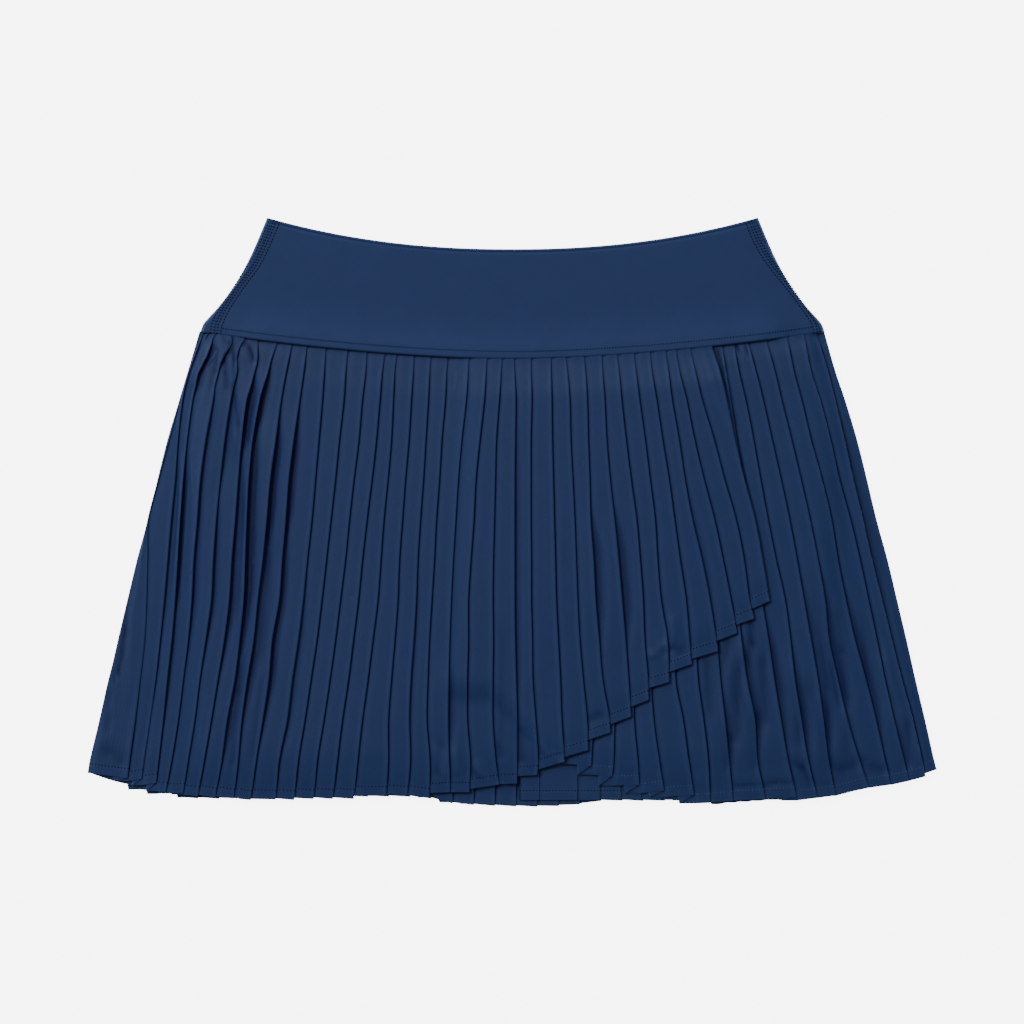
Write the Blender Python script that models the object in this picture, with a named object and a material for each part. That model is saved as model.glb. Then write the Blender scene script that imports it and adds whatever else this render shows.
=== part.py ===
"""Pleated yoga skort, laid flat on its back panel.

Seven pieces lie on each other: a contoured waistband (front and back), a pleated back panel, plain
inner shorts (back and front), and two pleated front panels that wrap like a tulip. Metres, +Z up
from the surface it lies on, +Y towards the waist. The tables below are in millimetres.
"""
from collections import namedtuple

import bmesh
import bpy

MM = 0.001
SEAM_GAP = 0.3               # between neighbouring pieces
CLOTH = 1.0                  # wall of a pleat's lowest part, and of the shorts

# Waistband: both edges are bowed, higher at the sides than in the middle
BAND_HALF_WIDTH = 204.0      # at its lower edge
BAND_LOWER_Y = 99.9          # middle of the lower edge
BAND_LOWER_RISE = 17.6
BAND_LOWER_POWER = 1.7
BAND_TOP_Y = 171.7           # middle of the top edge
BAND_TOP_RISE = 20.6
BAND_TOP_POWER = 2.2
BAND_THICKNESS = 1.8
BAND_SEAM_LIFT = 2.5         # the front band climbs over the layers sewn to it
BAND_SEAM_ALLOWANCE = 1.2    # turned-in cloth along the lower edge
FOLD_ROUND = 1.2             # rounding of the back band's side folds
FOLD_WALL = 2.2
BAND_COLUMNS = 32

# up: fraction of the band's height; fold and seam: half-widths of the side fold and front seam
BandRow = namedtuple("BandRow", "up fold seam")
BAND_ROWS = [
    BandRow(0.00, 204.0, 190.5),
    BandRow(0.08, 201.5, 189.5),
    BandRow(0.21, 191.5, 184.8),
    BandRow(0.39, 182.5, 176.0),
    BandRow(0.60, 173.4, 165.0),
    BandRow(0.81, 166.2, 156.4),
    BandRow(1.00, 160.3, 149.5),
]

# Pleats: each face runs from under the last fold up to its own fold edge on the right
LEVELS = (47.0, -5.0, -58.0, -110.0)   # heights where the fold tables give x
PLEAT_RISE = 1.75            # fold edge above the face's start
PLEAT_LIP = 2.5              # how far a face starts under the last fold
LIP_SHARE = 0.3              # the same, as a share of a narrow pleat
LIP_UNDERSIDE = 0.75         # underside of the fold edge, above the face's start
TURN_HEIGHT = 0.5            # where the cloth turns back, above the face's start
HOLLOW_HEIGHT = 1.2          # the wall's underside climbs this far under a fold edge
HOLLOW_REACH = 1.48          # how far left of the fold that lies, as a share of the lip
FOOT_REACH = 1.24            # the same for the foot of the next face
SEAM_RELIEF = 0.2            # share of the rise left where the pleats are sewn flat
RELIEF_DEPTH = 25.0          # distance below the seam where the pleats stand fully
ROW_DEPTHS = (0.0, 10.0, 28.0)
HEM_ROWS = 5                 # rows from the last of those down to the hem

# seam, a, b, c, d: x at the seam and at LEVELS; tip: the fold's corner at the hem; step: how
# much higher the next face starts there
Fold = namedtuple("Fold", "seam a b c d tip_x tip_y step")
OVER_FOLDS = [
    Fold(-204.0, -224.0, -238.0, -251.0, -263.5, -277.0, -170.0, 0.0),
    Fold(-203.0, -222.0, -236.0, -240.0, -243.5, -251.5, -173.5, -2.0),
    Fold(-201.5, -217.5, -223.0, -227.5, -233.0, -242.0, -174.5, -4.0),
    Fold(-194.0, -212.0, -217.0, -220.5, -225.5, -233.0, -177.0, -5.5),
    Fold(-184.0, -200.5, -206.0, -209.5, -215.0, -226.5, -183.0, -0.5),
    Fold(-174.5, -188.0, -193.5, -197.0, -204.5, -215.0, -183.5, -1.0),
    Fold(-165.5, -175.5, -180.0, -184.0, -192.5, -205.5, -185.5, -1.0),
    Fold(-154.0, -169.0, -172.5, -175.0, -181.5, -194.5, -186.5, 0.0),
    Fold(-144.0, -154.5, -160.5, -166.5, -173.5, -182.0, -187.0, 0.0),
    Fold(-134.0, -143.0, -148.0, -152.5, -159.5, -171.0, -188.0, 0.5),
    Fold(-121.5, -126.5, -131.0, -137.0, -144.0, -155.0, -187.5, 0.0),
    Fold(-107.5, -113.5, -119.0, -124.5, -132.0, -142.5, -188.0, 0.5),
    Fold(-94.5, -100.5, -107.0, -112.5, -119.5, -130.0, -187.5, 0.0),
    Fold(-83.5, -89.0, -95.5, -101.0, -107.5, -117.5, -187.5, 0.5),
    Fold(-75.5, -79.5, -84.0, -88.0, -94.5, -104.0, -187.5, 2.0),
    Fold(-64.0, -68.0, -72.0, -75.0, -79.5, -82.5, -185.5, 1.0),
    Fold(-53.0, -57.0, -60.5, -63.0, -66.5, -69.0, -185.5, 0.5),
    Fold(-42.0, -46.5, -50.0, -53.0, -55.5, -54.5, -187.0, 3.0),
    Fold(-28.5, -33.5, -37.0, -40.0, -42.0, -41.0, -183.0, 0.0),
    Fold(-17.0, -21.5, -25.5, -29.0, -29.5, -28.5, -183.0, 2.0),
    Fold(-6.5, -11.0, -12.0, -13.0, -13.0, -9.0, -178.0, 0.5),
    Fold(1.5, 1.5, 1.5, 1.5, 2.5, 3.0, -177.5, 5.0),
    Fold(12.0, 12.0, 12.0, 12.0, 13.0, 16.0, -172.0, 3.5),
    Fold(25.0, 26.0, 27.0, 28.5, 31.0, 34.0, -163.0, 3.0),
    Fold(35.5, 38.0, 40.5, 42.5, 46.0, 49.5, -155.5, 6.5),
    Fold(47.0, 49.5, 51.0, 53.5, 59.0, 63.5, -144.0, 5.5),
    Fold(58.5, 61.5, 66.5, 71.0, 75.5, 77.5, -133.5, 6.0),
    Fold(68.5, 74.0, 81.0, 85.0, 88.5, 89.0, -123.0, 6.0),
    Fold(79.5, 86.5, 93.0, 97.0, 102.0, 102.0, -111.0, 6.0),
    Fold(89.5, 98.0, 106.0, 113.5, None, 117.0, -99.0, 6.0),
    Fold(100.0, 108.5, 117.5, 129.0, None, 133.0, -91.0, 6.0),
    Fold(107.0, 119.0, 132.0, 142.5, None, 147.0, -79.0, 5.0),
    Fold(117.0, 131.5, 146.0, 155.0, None, 158.0, -69.0, 5.0),
    Fold(130.0, 145.0, 158.5, None, None, 167.5, -58.0, 0.0),
]
UNDER_FOLDS = [
    Fold(-3.0, -5.0, -8.0, -11.0, None, -15.0, -110.0, -6.0),
    Fold(10.0, 6.0, 3.0, 1.0, -1.0, -2.0, -122.0, -6.0),
    Fold(25.0, 21.5, 18.0, 15.0, 12.0, 11.0, -136.0, -6.0),
    Fold(40.0, 36.5, 33.0, 29.5, 26.5, 24.0, -148.0, -6.0),
    Fold(55.0, 51.0, 47.0, 43.5, 40.0, 37.5, -157.5, -6.0),
    Fold(70.0, 66.0, 61.5, 57.5, 54.0, 51.5, -166.0, -6.0),
    Fold(80.0, 76.0, 73.0, 70.0, 67.0, 65.0, -172.5, -6.0),
    Fold(88.5, 86.0, 83.5, 81.0, 78.5, 82.5, -178.5, -5.0),
    Fold(97.0, 95.0, 93.0, 91.0, 90.5, 99.0, -182.0, -4.0),
    Fold(105.5, 105.0, 105.0, 105.0, 106.5, 118.5, -184.5, -6.0),
    Fold(114.0, 115.0, 116.5, 118.5, 121.0, 129.0, -190.0, 0.0),
    Fold(122.5, 125.0, 128.0, 131.5, 136.0, 144.0, -188.5, -0.5),
    Fold(130.0, 135.5, 141.0, 147.0, 153.5, 165.5, -187.5, 0.0),
    Fold(137.0, 146.5, 154.5, 163.0, 171.0, 185.5, -186.0, -0.5),
    Fold(144.5, 157.5, 167.0, 178.0, 184.5, 199.0, -187.0, 0.5),
    Fold(154.0, 169.5, 181.0, 190.5, 199.5, 211.0, -185.0, 0.0),
    Fold(165.5, 182.0, 194.0, 204.0, 212.5, 233.0, -180.0, 0.0),
    Fold(179.0, 195.0, 208.5, 218.0, 231.0, 247.0, -178.5, 0.0),
    Fold(190.0, 207.5, 220.5, 232.5, 243.0, 259.0, -175.5, 0.5),
    Fold(198.5, 217.0, 229.0, 241.5, 254.0, 269.5, -172.5, 1.5),
    Fold(204.0, 224.0, 237.5, 250.5, 263.5, 277.0, -168.0, 0.0),
]

# Back panel: folds fan out evenly between the side edges
BACK_PITCH = 13.6            # at the hem
BACK_FIRST = 4.0             # x of one fold at the hem
BACK_SIDE = Fold(204.0, 224.0, 237.5, 250.5, 263.5, 277.0, -170.0, 0.0)
BACK_STEP = 0.7
HemPoint = namedtuple("HemPoint", "x y")
BACK_HEM = [
    HemPoint(-277.0, -170.0), HemPoint(-251.0, -178.0), HemPoint(-233.0, -183.5),
    HemPoint(-212.0, -186.5), HemPoint(-176.0, -187.5), HemPoint(-60.0, -186.5),
    HemPoint(-41.0, -190.0), HemPoint(-12.0, -191.7), HemPoint(4.0, -192.3),
    HemPoint(42.0, -191.7), HemPoint(57.0, -189.0), HemPoint(107.0, -187.5),
    HemPoint(190.0, -188.0), HemPoint(224.0, -181.5), HemPoint(277.0, -168.5),
]

# Inner shorts: a plain flat piece each side, cut away between the legs
ShortsRow = namedtuple("ShortsRow", "y outer inner")
SHORTS_ROWS = [
    ShortsRow(47.0, 186.0, 4.0),
    ShortsRow(-5.0, 188.0, 4.0),
    ShortsRow(-55.0, 187.0, 4.0),
    ShortsRow(-95.0, 184.0, 4.0),
    ShortsRow(-120.0, 180.0, 9.0),
    ShortsRow(-145.0, 176.0, 14.0),
]
SHORTS_SEAM_WIDTH = 178.0
SHORTS_CROTCH_Y = -95.0
SHORTS_LEG_COLUMNS = 6

# How the front panels come down to the back panel at the side seams, past the shorts
SIDE_RAMP_SEAM = (190.0, 203.0)      # |x| where it starts and ends, at the waist
SIDE_RAMP_LOWER = (200.0, 220.0)     # the same from SIDE_RAMP_Y down
SIDE_RAMP_Y = (110.0, 50.0)
# How the over panel climbs onto the under panel, measured left from its free edge
WRAP_RAMP = (34.0, 18.0)
# |x| between which the front band comes down to the back band, and the share of its height
# over which it thins out above the seam
BAND_RAMP = (165.0, 188.0)
BAND_CLIMB_ROWS = 0.4
BAND_ALLOWANCE_ROWS = 0.25

NAVY = (0.0152, 0.0382, 0.107)


def smoothstep(start, end, value):
    share = min(1.0, max(0.0, (value - start) / (end - start)))
    return share * share * (3.0 - 2.0 * share)


def mix(a, b, share):
    return a + (b - a) * share


def through(stations, at):
    """Smooth curve through (place, value) stations sorted by falling place."""
    if at >= stations[0][0]:
        return stations[0][1]
    if at <= stations[-1][0]:
        return stations[-1][1]
    slopes = []
    for i in range(len(stations)):
        before = stations[max(i - 1, 0)]
        after = stations[min(i + 1, len(stations) - 1)]
        slopes.append((after[1] - before[1]) / (after[0] - before[0]))
    for i in range(len(stations) - 1):
        (p0, v0), (p1, v1) = stations[i], stations[i + 1]
        if at >= p1:
            span = p1 - p0
            t = (at - p0) / span
            bend = v0 * (1 + 2 * t) * (1 - t) ** 2 + v1 * t * t * (3 - 2 * t)
            return bend + span * (slopes[i] * t * (1 - t) ** 2 + slopes[i + 1] * t * t * (t - 1))


def band_lower(x):
    """Y of the band's lower edge at x."""
    return BAND_LOWER_Y + BAND_LOWER_RISE * min(1.0, abs(x) / BAND_HALF_WIDTH) ** BAND_LOWER_POWER


def seam_y(x):
    """Y where a skirt panel or the shorts start, just under the band."""
    return band_lower(x) - SEAM_GAP


def relief(depth):
    """Share of the full pleat height at a distance below the seam."""
    return mix(SEAM_RELIEF, 1.0, smoothstep(0.0, RELIEF_DEPTH, depth))


def panel_height(depth):
    return CLOTH + PLEAT_RISE * relief(depth)


def shorts_share(x, y):
    """1 over the shorts, falling to 0 at the side seams."""
    lower = smoothstep(*SIDE_RAMP_Y, y)
    start, end = (mix(a, b, lower) for a, b in zip(SIDE_RAMP_SEAM, SIDE_RAMP_LOWER))
    return 1.0 - smoothstep(start, end, abs(x))


def under_share(x, y):
    """1 over the under panel, falling to 0 left of its free edge."""
    edge = fold_x(UNDER_FOLDS[0], y)
    return smoothstep(edge - WRAP_RAMP[0], edge - WRAP_RAMP[1], x)


def on_floor(x, y):
    return 0.0


def over_back(x, y):
    return panel_height(seam_y(x) - y) + SEAM_GAP


def over_back_shorts(x, y):
    return over_back(x, y) + CLOTH + SEAM_GAP


def over_shorts(x, y):
    return over_back(x, y) + 2.0 * (CLOTH + SEAM_GAP) * shorts_share(x, y)


def over_under(x, y):
    return over_shorts(x, y) + (panel_height(seam_y(x) - y) + SEAM_GAP) * under_share(x, y)


def new_object(name, mesh, roughness=0.62):
    material = bpy.data.materials.new(name + "_cloth")
    material.use_nodes = True
    shader = material.node_tree.nodes["Principled BSDF"]
    shader.inputs["Base Color"].default_value = (*NAVY, 1.0)
    shader.inputs["Roughness"].default_value = roughness
    shader.inputs["Metallic"].default_value = 0.0
    mesh.materials.append(material)
    piece = bpy.data.objects.new(name, mesh)
    bpy.context.collection.objects.link(piece)
    return piece


def mesh_from(name, points, faces):
    """Closed mesh from points in millimetres, its faces turned outwards."""
    build = bmesh.new()
    corners = [build.verts.new([value * MM for value in point]) for point in points]
    for face in faces:
        build.faces.new([corners[index] for index in face])
    bmesh.ops.triangulate(build, faces=[face for face in build.faces if len(face.verts) > 3])
    bmesh.ops.recalc_face_normals(build, faces=build.faces)
    mesh = bpy.data.meshes.new(name)
    build.to_mesh(mesh)
    build.free()
    return mesh


def closed_sheet(name, outer, inner, cut=None):
    """Wall between two grids of points, outer[column][row] and inner[column][row].

    cut(column, row) names the cells left out.
    """
    columns, rows = len(outer), len(outer[0])
    cells = {(c, r) for c in range(columns - 1) for r in range(rows - 1)
             if not (cut and cut(c, r))}
    used = sorted({(c + i, r + j) for c, r in cells for i in (0, 1) for j in (0, 1)})
    place = {spot: index for index, spot in enumerate(used)}
    points = [outer[c][r] for c, r in used] + [inner[c][r] for c, r in used]
    faces = []
    for c, r in cells:
        ring = [(c, r), (c + 1, r), (c + 1, r + 1), (c, r + 1)]
        faces.append([place[spot] for spot in ring])
        faces.append([place[spot] + len(used) for spot in reversed(ring)])
        beyond = [(c, r - 1), (c + 1, r), (c, r + 1), (c - 1, r)]
        for start, end, cell in zip(ring, ring[1:] + ring[:1], beyond):
            if cell not in cells:
                a, b = place[start], place[end]
                faces.append([a, b, b + len(used), a + len(used)])
    return new_object(name, mesh_from(name, points, faces))


def fold_x(fold, y):
    """x of a fold line at height y."""
    stations = [(seam_y(fold.seam), fold.seam)]
    stations += [(level, x) for level, x in zip(LEVELS, fold[1:5]) if x is not None]
    stations.append((fold.tip_y, fold.tip_x))
    return through(stations, y)


def row_places(top, bottom):
    """Heights of a fold's points: close together near the seam, then even down to its end."""
    last = ROW_DEPTHS[-1]
    depths = list(ROW_DEPTHS)
    depths += [mix(last, top - bottom, (row + 1) / HEM_ROWS) for row in range(HEM_ROWS)]
    return [top - depth for depth in depths]


def pleated_panel(name, folds, base, flat_under=False):
    """One panel of knife pleats.

    A face starts low under the last fold and climbs to its own fold edge, where the cloth turns
    back under. Seven lines run down each pleat: start, edge, lip, turn, and two underneath.
    """
    lines = []

    def line(fold, shift, end_y, height):
        """Points down a fold line moved left by shift, height(share of relief) above the base."""
        top = seam_y(fold.seam - shift(seam_y(fold.seam)))
        points = []
        for y in row_places(top, end_y):
            x = fold_x(fold, y) - shift(y)
            z = base(x, y) + height(relief(top - y))
            points.append((x, y, z))
        lines.append(points)
        return len(lines) - 1

    def none(y):
        return 0.0

    first = folds[0]
    start = line(first, none, first.tip_y, lambda f: CLOTH)
    under = line(first, none, first.tip_y, lambda f: 0.0)
    left_wall = (start, under)
    strips = []
    caps = []
    for last, fold in zip(folds, folds[1:]):
        def lip(y):
            return min(PLEAT_LIP, LIP_SHARE * (fold_x(fold, y) - fold_x(last, y)))
        edge = line(fold, none, fold.tip_y, lambda f: CLOTH + PLEAT_RISE * f)
        lower = line(fold, none, fold.tip_y, lambda f: CLOTH + LIP_UNDERSIDE * f)
        strips += [(start, edge), (edge, lower)]
        if fold is folds[-1]:
            strips.append((lower, under))
            caps += [(start, edge, lower), (start, lower, under)]
            break
        next_y = fold.tip_y + fold.step
        turn = line(fold, lip, fold.tip_y, lambda f: CLOTH + TURN_HEIGHT * f)
        next_start = line(fold, lip, next_y, lambda f: CLOTH)
        hollow = line(fold, lambda y: HOLLOW_REACH * lip(y), next_y,
                      lambda f: 0.0 if flat_under else HOLLOW_HEIGHT * f)
        next_under = line(fold, lambda y: FOOT_REACH * lip(y), next_y, lambda f: 0.0)
        strips += [(lower, turn), (turn, next_start), (under, hollow), (hollow, next_under)]
        caps += [(edge, lower, turn), (start, edge, turn), (start, turn, hollow),
                 (start, hollow, under), (turn, next_start, hollow),
                 (next_start, next_under, hollow)]
        start, under = next_start, next_under
    strips.append(left_wall)

    rows = len(lines[0])
    points = [point for points in lines for point in points]
    faces = []
    for a, b in strips:
        for row in range(rows - 1):
            i, j = a * rows + row, b * rows + row
            faces.append([i, j, j + 1, i + 1])
    for cap in caps:
        faces.append([index * rows for index in cap])
        faces.append([index * rows + rows - 1 for index in cap])
    return new_object(name, mesh_from(name, points, faces))


def back_folds():
    """The back panel's folds, evenly spaced between its two side edges."""
    hem = [(-point.x, point.y) for point in BACK_HEM]
    half = BACK_SIDE.tip_x
    count = int(2 * half / BACK_PITCH)
    places = [BACK_FIRST + BACK_PITCH * step for step in range(-count, count)]
    places = [-half] + [x for x in places if abs(x) < half - 0.4 * BACK_PITCH] + [half]
    folds = []
    for x in places:
        share = x / half
        across = [share * value for value in BACK_SIDE[:5]]
        folds.append(Fold(*across, x, through(hem, -x), BACK_STEP))
    return folds


def band_y(x, row):
    """Height of the band's point at x on one of its rows."""
    share = min(1.0, abs(x) / row.fold)
    lower = BAND_LOWER_Y + BAND_LOWER_RISE * share ** BAND_LOWER_POWER
    upper = BAND_TOP_Y + BAND_TOP_RISE * share ** BAND_TOP_POWER
    return mix(lower, upper, row.up)


def band_inside(x):
    """1 over the shorts and skirt that are sewn into the band, 0 at its sides."""
    return 1.0 - smoothstep(*BAND_RAMP, abs(x))


def seam_allowance(row):
    """Extra thickness where the band's lower edge is turned in."""
    return BAND_SEAM_ALLOWANCE * smoothstep(BAND_ALLOWANCE_ROWS, 0.0, row.up)


def front_underside(x, row):
    climb = BAND_SEAM_LIFT * smoothstep(BAND_CLIMB_ROWS, 0.0, row.up)
    return BAND_THICKNESS + SEAM_GAP + climb * band_inside(x)


def front_top(x, row):
    return front_underside(x, row) + BAND_THICKNESS + seam_allowance(row)


def back_top(x, row):
    return BAND_THICKNESS + seam_allowance(row) * band_inside(x)


def waistband_front():
    outer, inner = [], []
    for column in range(BAND_COLUMNS + 1):
        share = 2.0 * column / BAND_COLUMNS - 1.0
        places = [(share * (row.seam - SEAM_GAP / 2.0), row) for row in BAND_ROWS]
        outer.append([(x, band_y(x, row), front_top(x, row)) for x, row in places])
        inner.append([(x, band_y(x, row), front_underside(x, row)) for x, row in places])
    return closed_sheet("waistband_front", outer, inner)


def waistband_back():
    """The back band, its sides folded over to the front as far as the front seam."""
    outer, inner = [], []

    def add(side, out_x, out_z, in_x, in_z):
        """One column; each value is a function of the row."""
        for grid, reach, height in ((outer, out_x, out_z), (inner, in_x, in_z)):
            grid.append([(side * reach(row), band_y(reach(row), row), height(row)) for row in BAND_ROWS])

    def hook(side):
        """Columns from the front seam round the side fold to the underside."""
        def top(row):
            return front_top(row.fold, row)

        def under_top(row):
            return front_underside(row.fold, row)

        return [
            (side, lambda row: row.seam + SEAM_GAP / 2.0, top,
             lambda row: row.seam + SEAM_GAP / 2.0, under_top),
            (side, lambda row: row.fold - FOLD_ROUND, top,
             lambda row: row.fold - FOLD_WALL, under_top),
            (side, lambda row: row.fold, lambda row: top(row) - FOLD_ROUND,
             lambda row: row.fold - 0.9 * FOLD_WALL, lambda row: under_top(row) - 0.1),
            (side, lambda row: row.fold, lambda row: FOLD_ROUND,
             lambda row: row.fold - 0.9 * FOLD_WALL, lambda row: BAND_THICKNESS + 0.1),
            (side, lambda row: row.fold - FOLD_ROUND, lambda row: 0.0,
             lambda row: row.fold - FOLD_WALL, lambda row: BAND_THICKNESS),
        ]

    for column in hook(-1.0):
        add(*column)
    for column in range(1, BAND_COLUMNS):
        share = 2.0 * column / BAND_COLUMNS - 1.0
        side = -1.0 if share < 0 else 1.0

        def reach(row):
            return abs(share) * (row.fold - FOLD_WALL)
        add(side, reach, lambda row: 0.0, reach, lambda row: back_top(reach(row), row))
    for column in reversed(hook(1.0)):
        add(*column)
    return closed_sheet("waistband_back", outer, inner)


def shorts_piece(name, base):
    """A plain flat piece of the shorts, with two legs."""
    crotch = [row.y for row in SHORTS_ROWS].index(SHORTS_CROTCH_Y)
    first = len(ROW_DEPTHS)
    columns = []
    for side in (-1.0, 1.0):
        shares = [step / SHORTS_LEG_COLUMNS for step in range(SHORTS_LEG_COLUMNS + 1)]
        for share in reversed(shares) if side < 0 else shares:
            column = []
            for depth in ROW_DEPTHS:
                x = side * mix(SHORTS_ROWS[0].inner, SHORTS_SEAM_WIDTH, share)
                column.append((x, seam_y(x) - depth))
            column += [(side * mix(row.inner, row.outer, share), row.y) for row in SHORTS_ROWS]
            columns.append(column)
    inner = [[(x, y, base(x, y)) for x, y in column] for column in columns]
    outer = [[(x, y, z + CLOTH) for x, y, z in column] for column in inner]

    def between_legs(column, row):
        return column == SHORTS_LEG_COLUMNS and row >= first + crotch
    return closed_sheet(name, outer, inner, between_legs)


def build():
    for item in list(bpy.data.objects):
        bpy.data.objects.remove(item, do_unlink=True)
    waistband_back()
    waistband_front()
    pleated_panel("skirt_back", back_folds(), on_floor, flat_under=True)
    shorts_piece("shorts_back", over_back)
    shorts_piece("shorts_front", over_back_shorts)
    pleated_panel("skirt_front_under", UNDER_FOLDS, over_shorts)
    pleated_panel("skirt_front_over", OVER_FOLDS, over_under)


build()
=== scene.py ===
"""Pleated yoga skort, laid flat on its back panel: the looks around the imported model.

Lengths are in millimetres, +Y towards the waist, and become metres when a mesh is made. Places
that were read off the photograph stay in its pixels, in tables whose fields say so.
"""
from collections import namedtuple
import math
import random

import bmesh
import bpy
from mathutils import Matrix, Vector, noise


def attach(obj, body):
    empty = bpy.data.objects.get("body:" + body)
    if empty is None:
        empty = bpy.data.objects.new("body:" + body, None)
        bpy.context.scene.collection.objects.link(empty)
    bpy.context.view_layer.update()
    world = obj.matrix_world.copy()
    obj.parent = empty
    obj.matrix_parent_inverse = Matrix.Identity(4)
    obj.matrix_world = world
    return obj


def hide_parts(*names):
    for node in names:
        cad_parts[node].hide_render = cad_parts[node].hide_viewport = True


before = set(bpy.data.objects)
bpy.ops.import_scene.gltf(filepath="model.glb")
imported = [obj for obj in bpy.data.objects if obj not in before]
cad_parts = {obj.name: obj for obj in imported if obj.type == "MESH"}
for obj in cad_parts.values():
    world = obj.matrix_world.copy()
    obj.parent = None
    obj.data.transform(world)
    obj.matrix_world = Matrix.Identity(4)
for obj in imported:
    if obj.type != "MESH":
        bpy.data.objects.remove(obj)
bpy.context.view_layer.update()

MM = 0.001

# The photograph: what one pixel covers on the cloth, and the pixel above the frame's origin
PIXEL = 0.653
PHOTO_MIDDLE_X = 512.5
PHOTO_MIDDLE_Y = 512.0
PHOTO_WIDTH = 1024
CAMERA_LENS = 85.0
CAMERA_SENSOR = 36.0
CAMERA_HEIGHT = PHOTO_WIDTH * PIXEL * CAMERA_LENS / CAMERA_SENSOR

# Waistband, as in the solids: both edges are bowed, higher at the sides than in the middle
SEAM_GAP = 0.3
BAND_HALF_WIDTH = 204.0
BAND_LOWER_Y = 99.9
BAND_LOWER_RISE = 17.6
BAND_LOWER_POWER = 1.7
BAND_TOP_Y = 171.7
BAND_TOP_RISE = 20.6
BAND_TOP_POWER = 2.2
BAND_THICKNESS = 1.8
BAND_SEAM_LIFT = 2.5
BAND_JOIN = 0.06             # between the front and back band, edge to edge under the stitching
BAND_SEAM_ALLOWANCE = 1.2
BAND_RAMP = (165.0, 188.0)
BAND_CLIMB_ROWS = 0.4
BAND_ALLOWANCE_ROWS = 0.25
BAND_COLUMNS = 96
BAND_EDGE_ROUND = 0.8
BAND_LOW_ROUND = 0.7         # share of it at the lower edge
BAND_LOW_EDGE = 0.009        # shares of the band's height where its rounded edges end and start
BAND_TOP_EDGE = 0.984
BAND_INSIDE_DRAWS = 0.6      # share of the rounding on the front band's underside
BAND_WAVE_HEIGHT = 0.12      # the front band isn't quite even
BAND_WAVE_WIDTH = 48.0
BAND_WAVE_LENGTH = 30.0

# The back band where its sides fold round to the front
SIDE_WALL = 1.5
SIDE_THINNEST = 0.15         # half of the hollow left inside, at least
SIDE_ROUND = 2.4             # how far the fold is rounded outside
SIDE_HOLLOW_IN = 2.9         # distance from the fold to where the hollow starts to narrow
SIDE_HOLLOW_ROUND = 1.3      # how far it is rounded from there
SIDE_FLAT = 3.2              # distance from the fold to the band's flat back
BACK_INSIDE_DRAWS = 0.7      # share of the edges' rounding inside
SIDE_SHARES = (0.0, 0.2, 0.4, 0.6, 0.8)
SIDE_TURNS = (0.0, 0.12, 0.25, 0.38, 0.5, 0.62, 0.75, 0.88, 1.0)

# up: share of the band's height; fold: half-width at the side folds; left_seam and right_seam:
# distance of each front seam from the middle. The right one lies closer to its fold low down
BandRow = namedtuple("BandRow", "up fold left_seam right_seam")
BAND_ROWS = [
    BandRow(0.00, 204.0, 190.5, 196.6),
    BandRow(0.08, 201.5, 189.5, 195.2),
    BandRow(0.21, 192.7, 184.8, 188.7),
    BandRow(0.39, 182.5, 176.0, 178.6),
    BandRow(0.60, 173.4, 165.0, 166.6),
    BandRow(0.81, 166.2, 157.4, 157.4),
    BandRow(1.00, 160.3, 151.5, 151.5),
]

# Pleated cloth: heights of its middle layer above what it lies on, first at the seam, where the
# pleats are sewn flat, and then where they stand fully
CLOTH = 0.44                 # thickness of the pleated knit
FACE_START = (0.24, 0.30)    # the face where it starts, under the last fold
FACE_SHOWS = (0.28, 0.50)    # where it comes out from under that fold
FOLD_TOP = (1.12, 2.45)      # at its own fold
FOLD_UNDER = (0.70, 1.75)    # the cloth going back under the fold
FOLD_TURN = (0.68, 1.00)     # where it turns again, deep under the pleat
FIRST_EDGE_HEIGHT = (0.3, 0.9)
EDGE_HEIGHT = 0.9            # at a side edge or a free edge, where the pleats stand

# A face, from the last fold on its left to its own fold on its right
KNEE = 4.2                   # width of the climb just right of the last fold
KNEE_WIDEST = 0.45           # the same, at most, as a share of a narrow face
KNEE_START = 0.2             # share of the knee that lies in the opening before it
KNEE_SHARE = 0.66            # share of the height climbed there
KNEE_CREASES = 0.25          # share of the creases' height before it
PRESSED_EDGE = 2.2           # width of the pressed edge, which stands a little steeper
PRESSED_RISE = 0.22
OPENING_SHARE = 0.55         # widest opening, as a share of its face
OPENING_GROWN = 0.35         # an opening has grown by this share of its length
OPENING_FADES = 0.6          # and fades from this share on
FIRM_LIFT = 1.5              # an opening under a fold lifted this much is in full shade
LOWEST_LIFT = -1.0           # a fold sinks no lower than this on the layers below it
NARROW = (0.5, 5.0)          # the first fold sinks where its face is this narrow
LIFT_SPREAD = 0.10           # how unevenly the folds stand
END_CROWN = 1.3              # a panel's last face rises this much and bends down to its edge
END_BEND = 0.45              # from this share of its width on
END_CREASES = 0.5            # share of the creases' height on it
SINKS = 0.1                  # a trough goes this much below the height at the last fold
WAVE_HEIGHT = 0.16           # the slight unevenness of all of the cloth
WAVE_WIDTH = 26.0
WAVE_LENGTH = 60.0
CREASE_START = (0.3, 4.0)    # distance below the seam over which the creases begin

# A fold and the cloth that goes back under it
FOLD_ROUND = 0.33            # how far the pressed fold is rounded
SEWN_DROP = 0.6              # share of the fold's depth left where the pleats are sewn flat
LAP = 9.0                    # how far the cloth goes back under
LAP_SHARE = 0.62             # the same, at most, as a share of a narrow face
LAP_REACH = 0.97             # share of it where the cloth turns again
TURN_REACH = 0.2             # how far that turn goes beyond it
LAP_MARGIN = 0.6             # the folded cloth carries the face this much farther
LAYER_GAP = 0.08
UNDER_SHARES = (0.3, 0.65)
FACE_SHARES = (0.0, 0.07, 0.15, 0.25, 0.37, 0.50, 0.64, 0.78, 0.88, 0.95)

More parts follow.
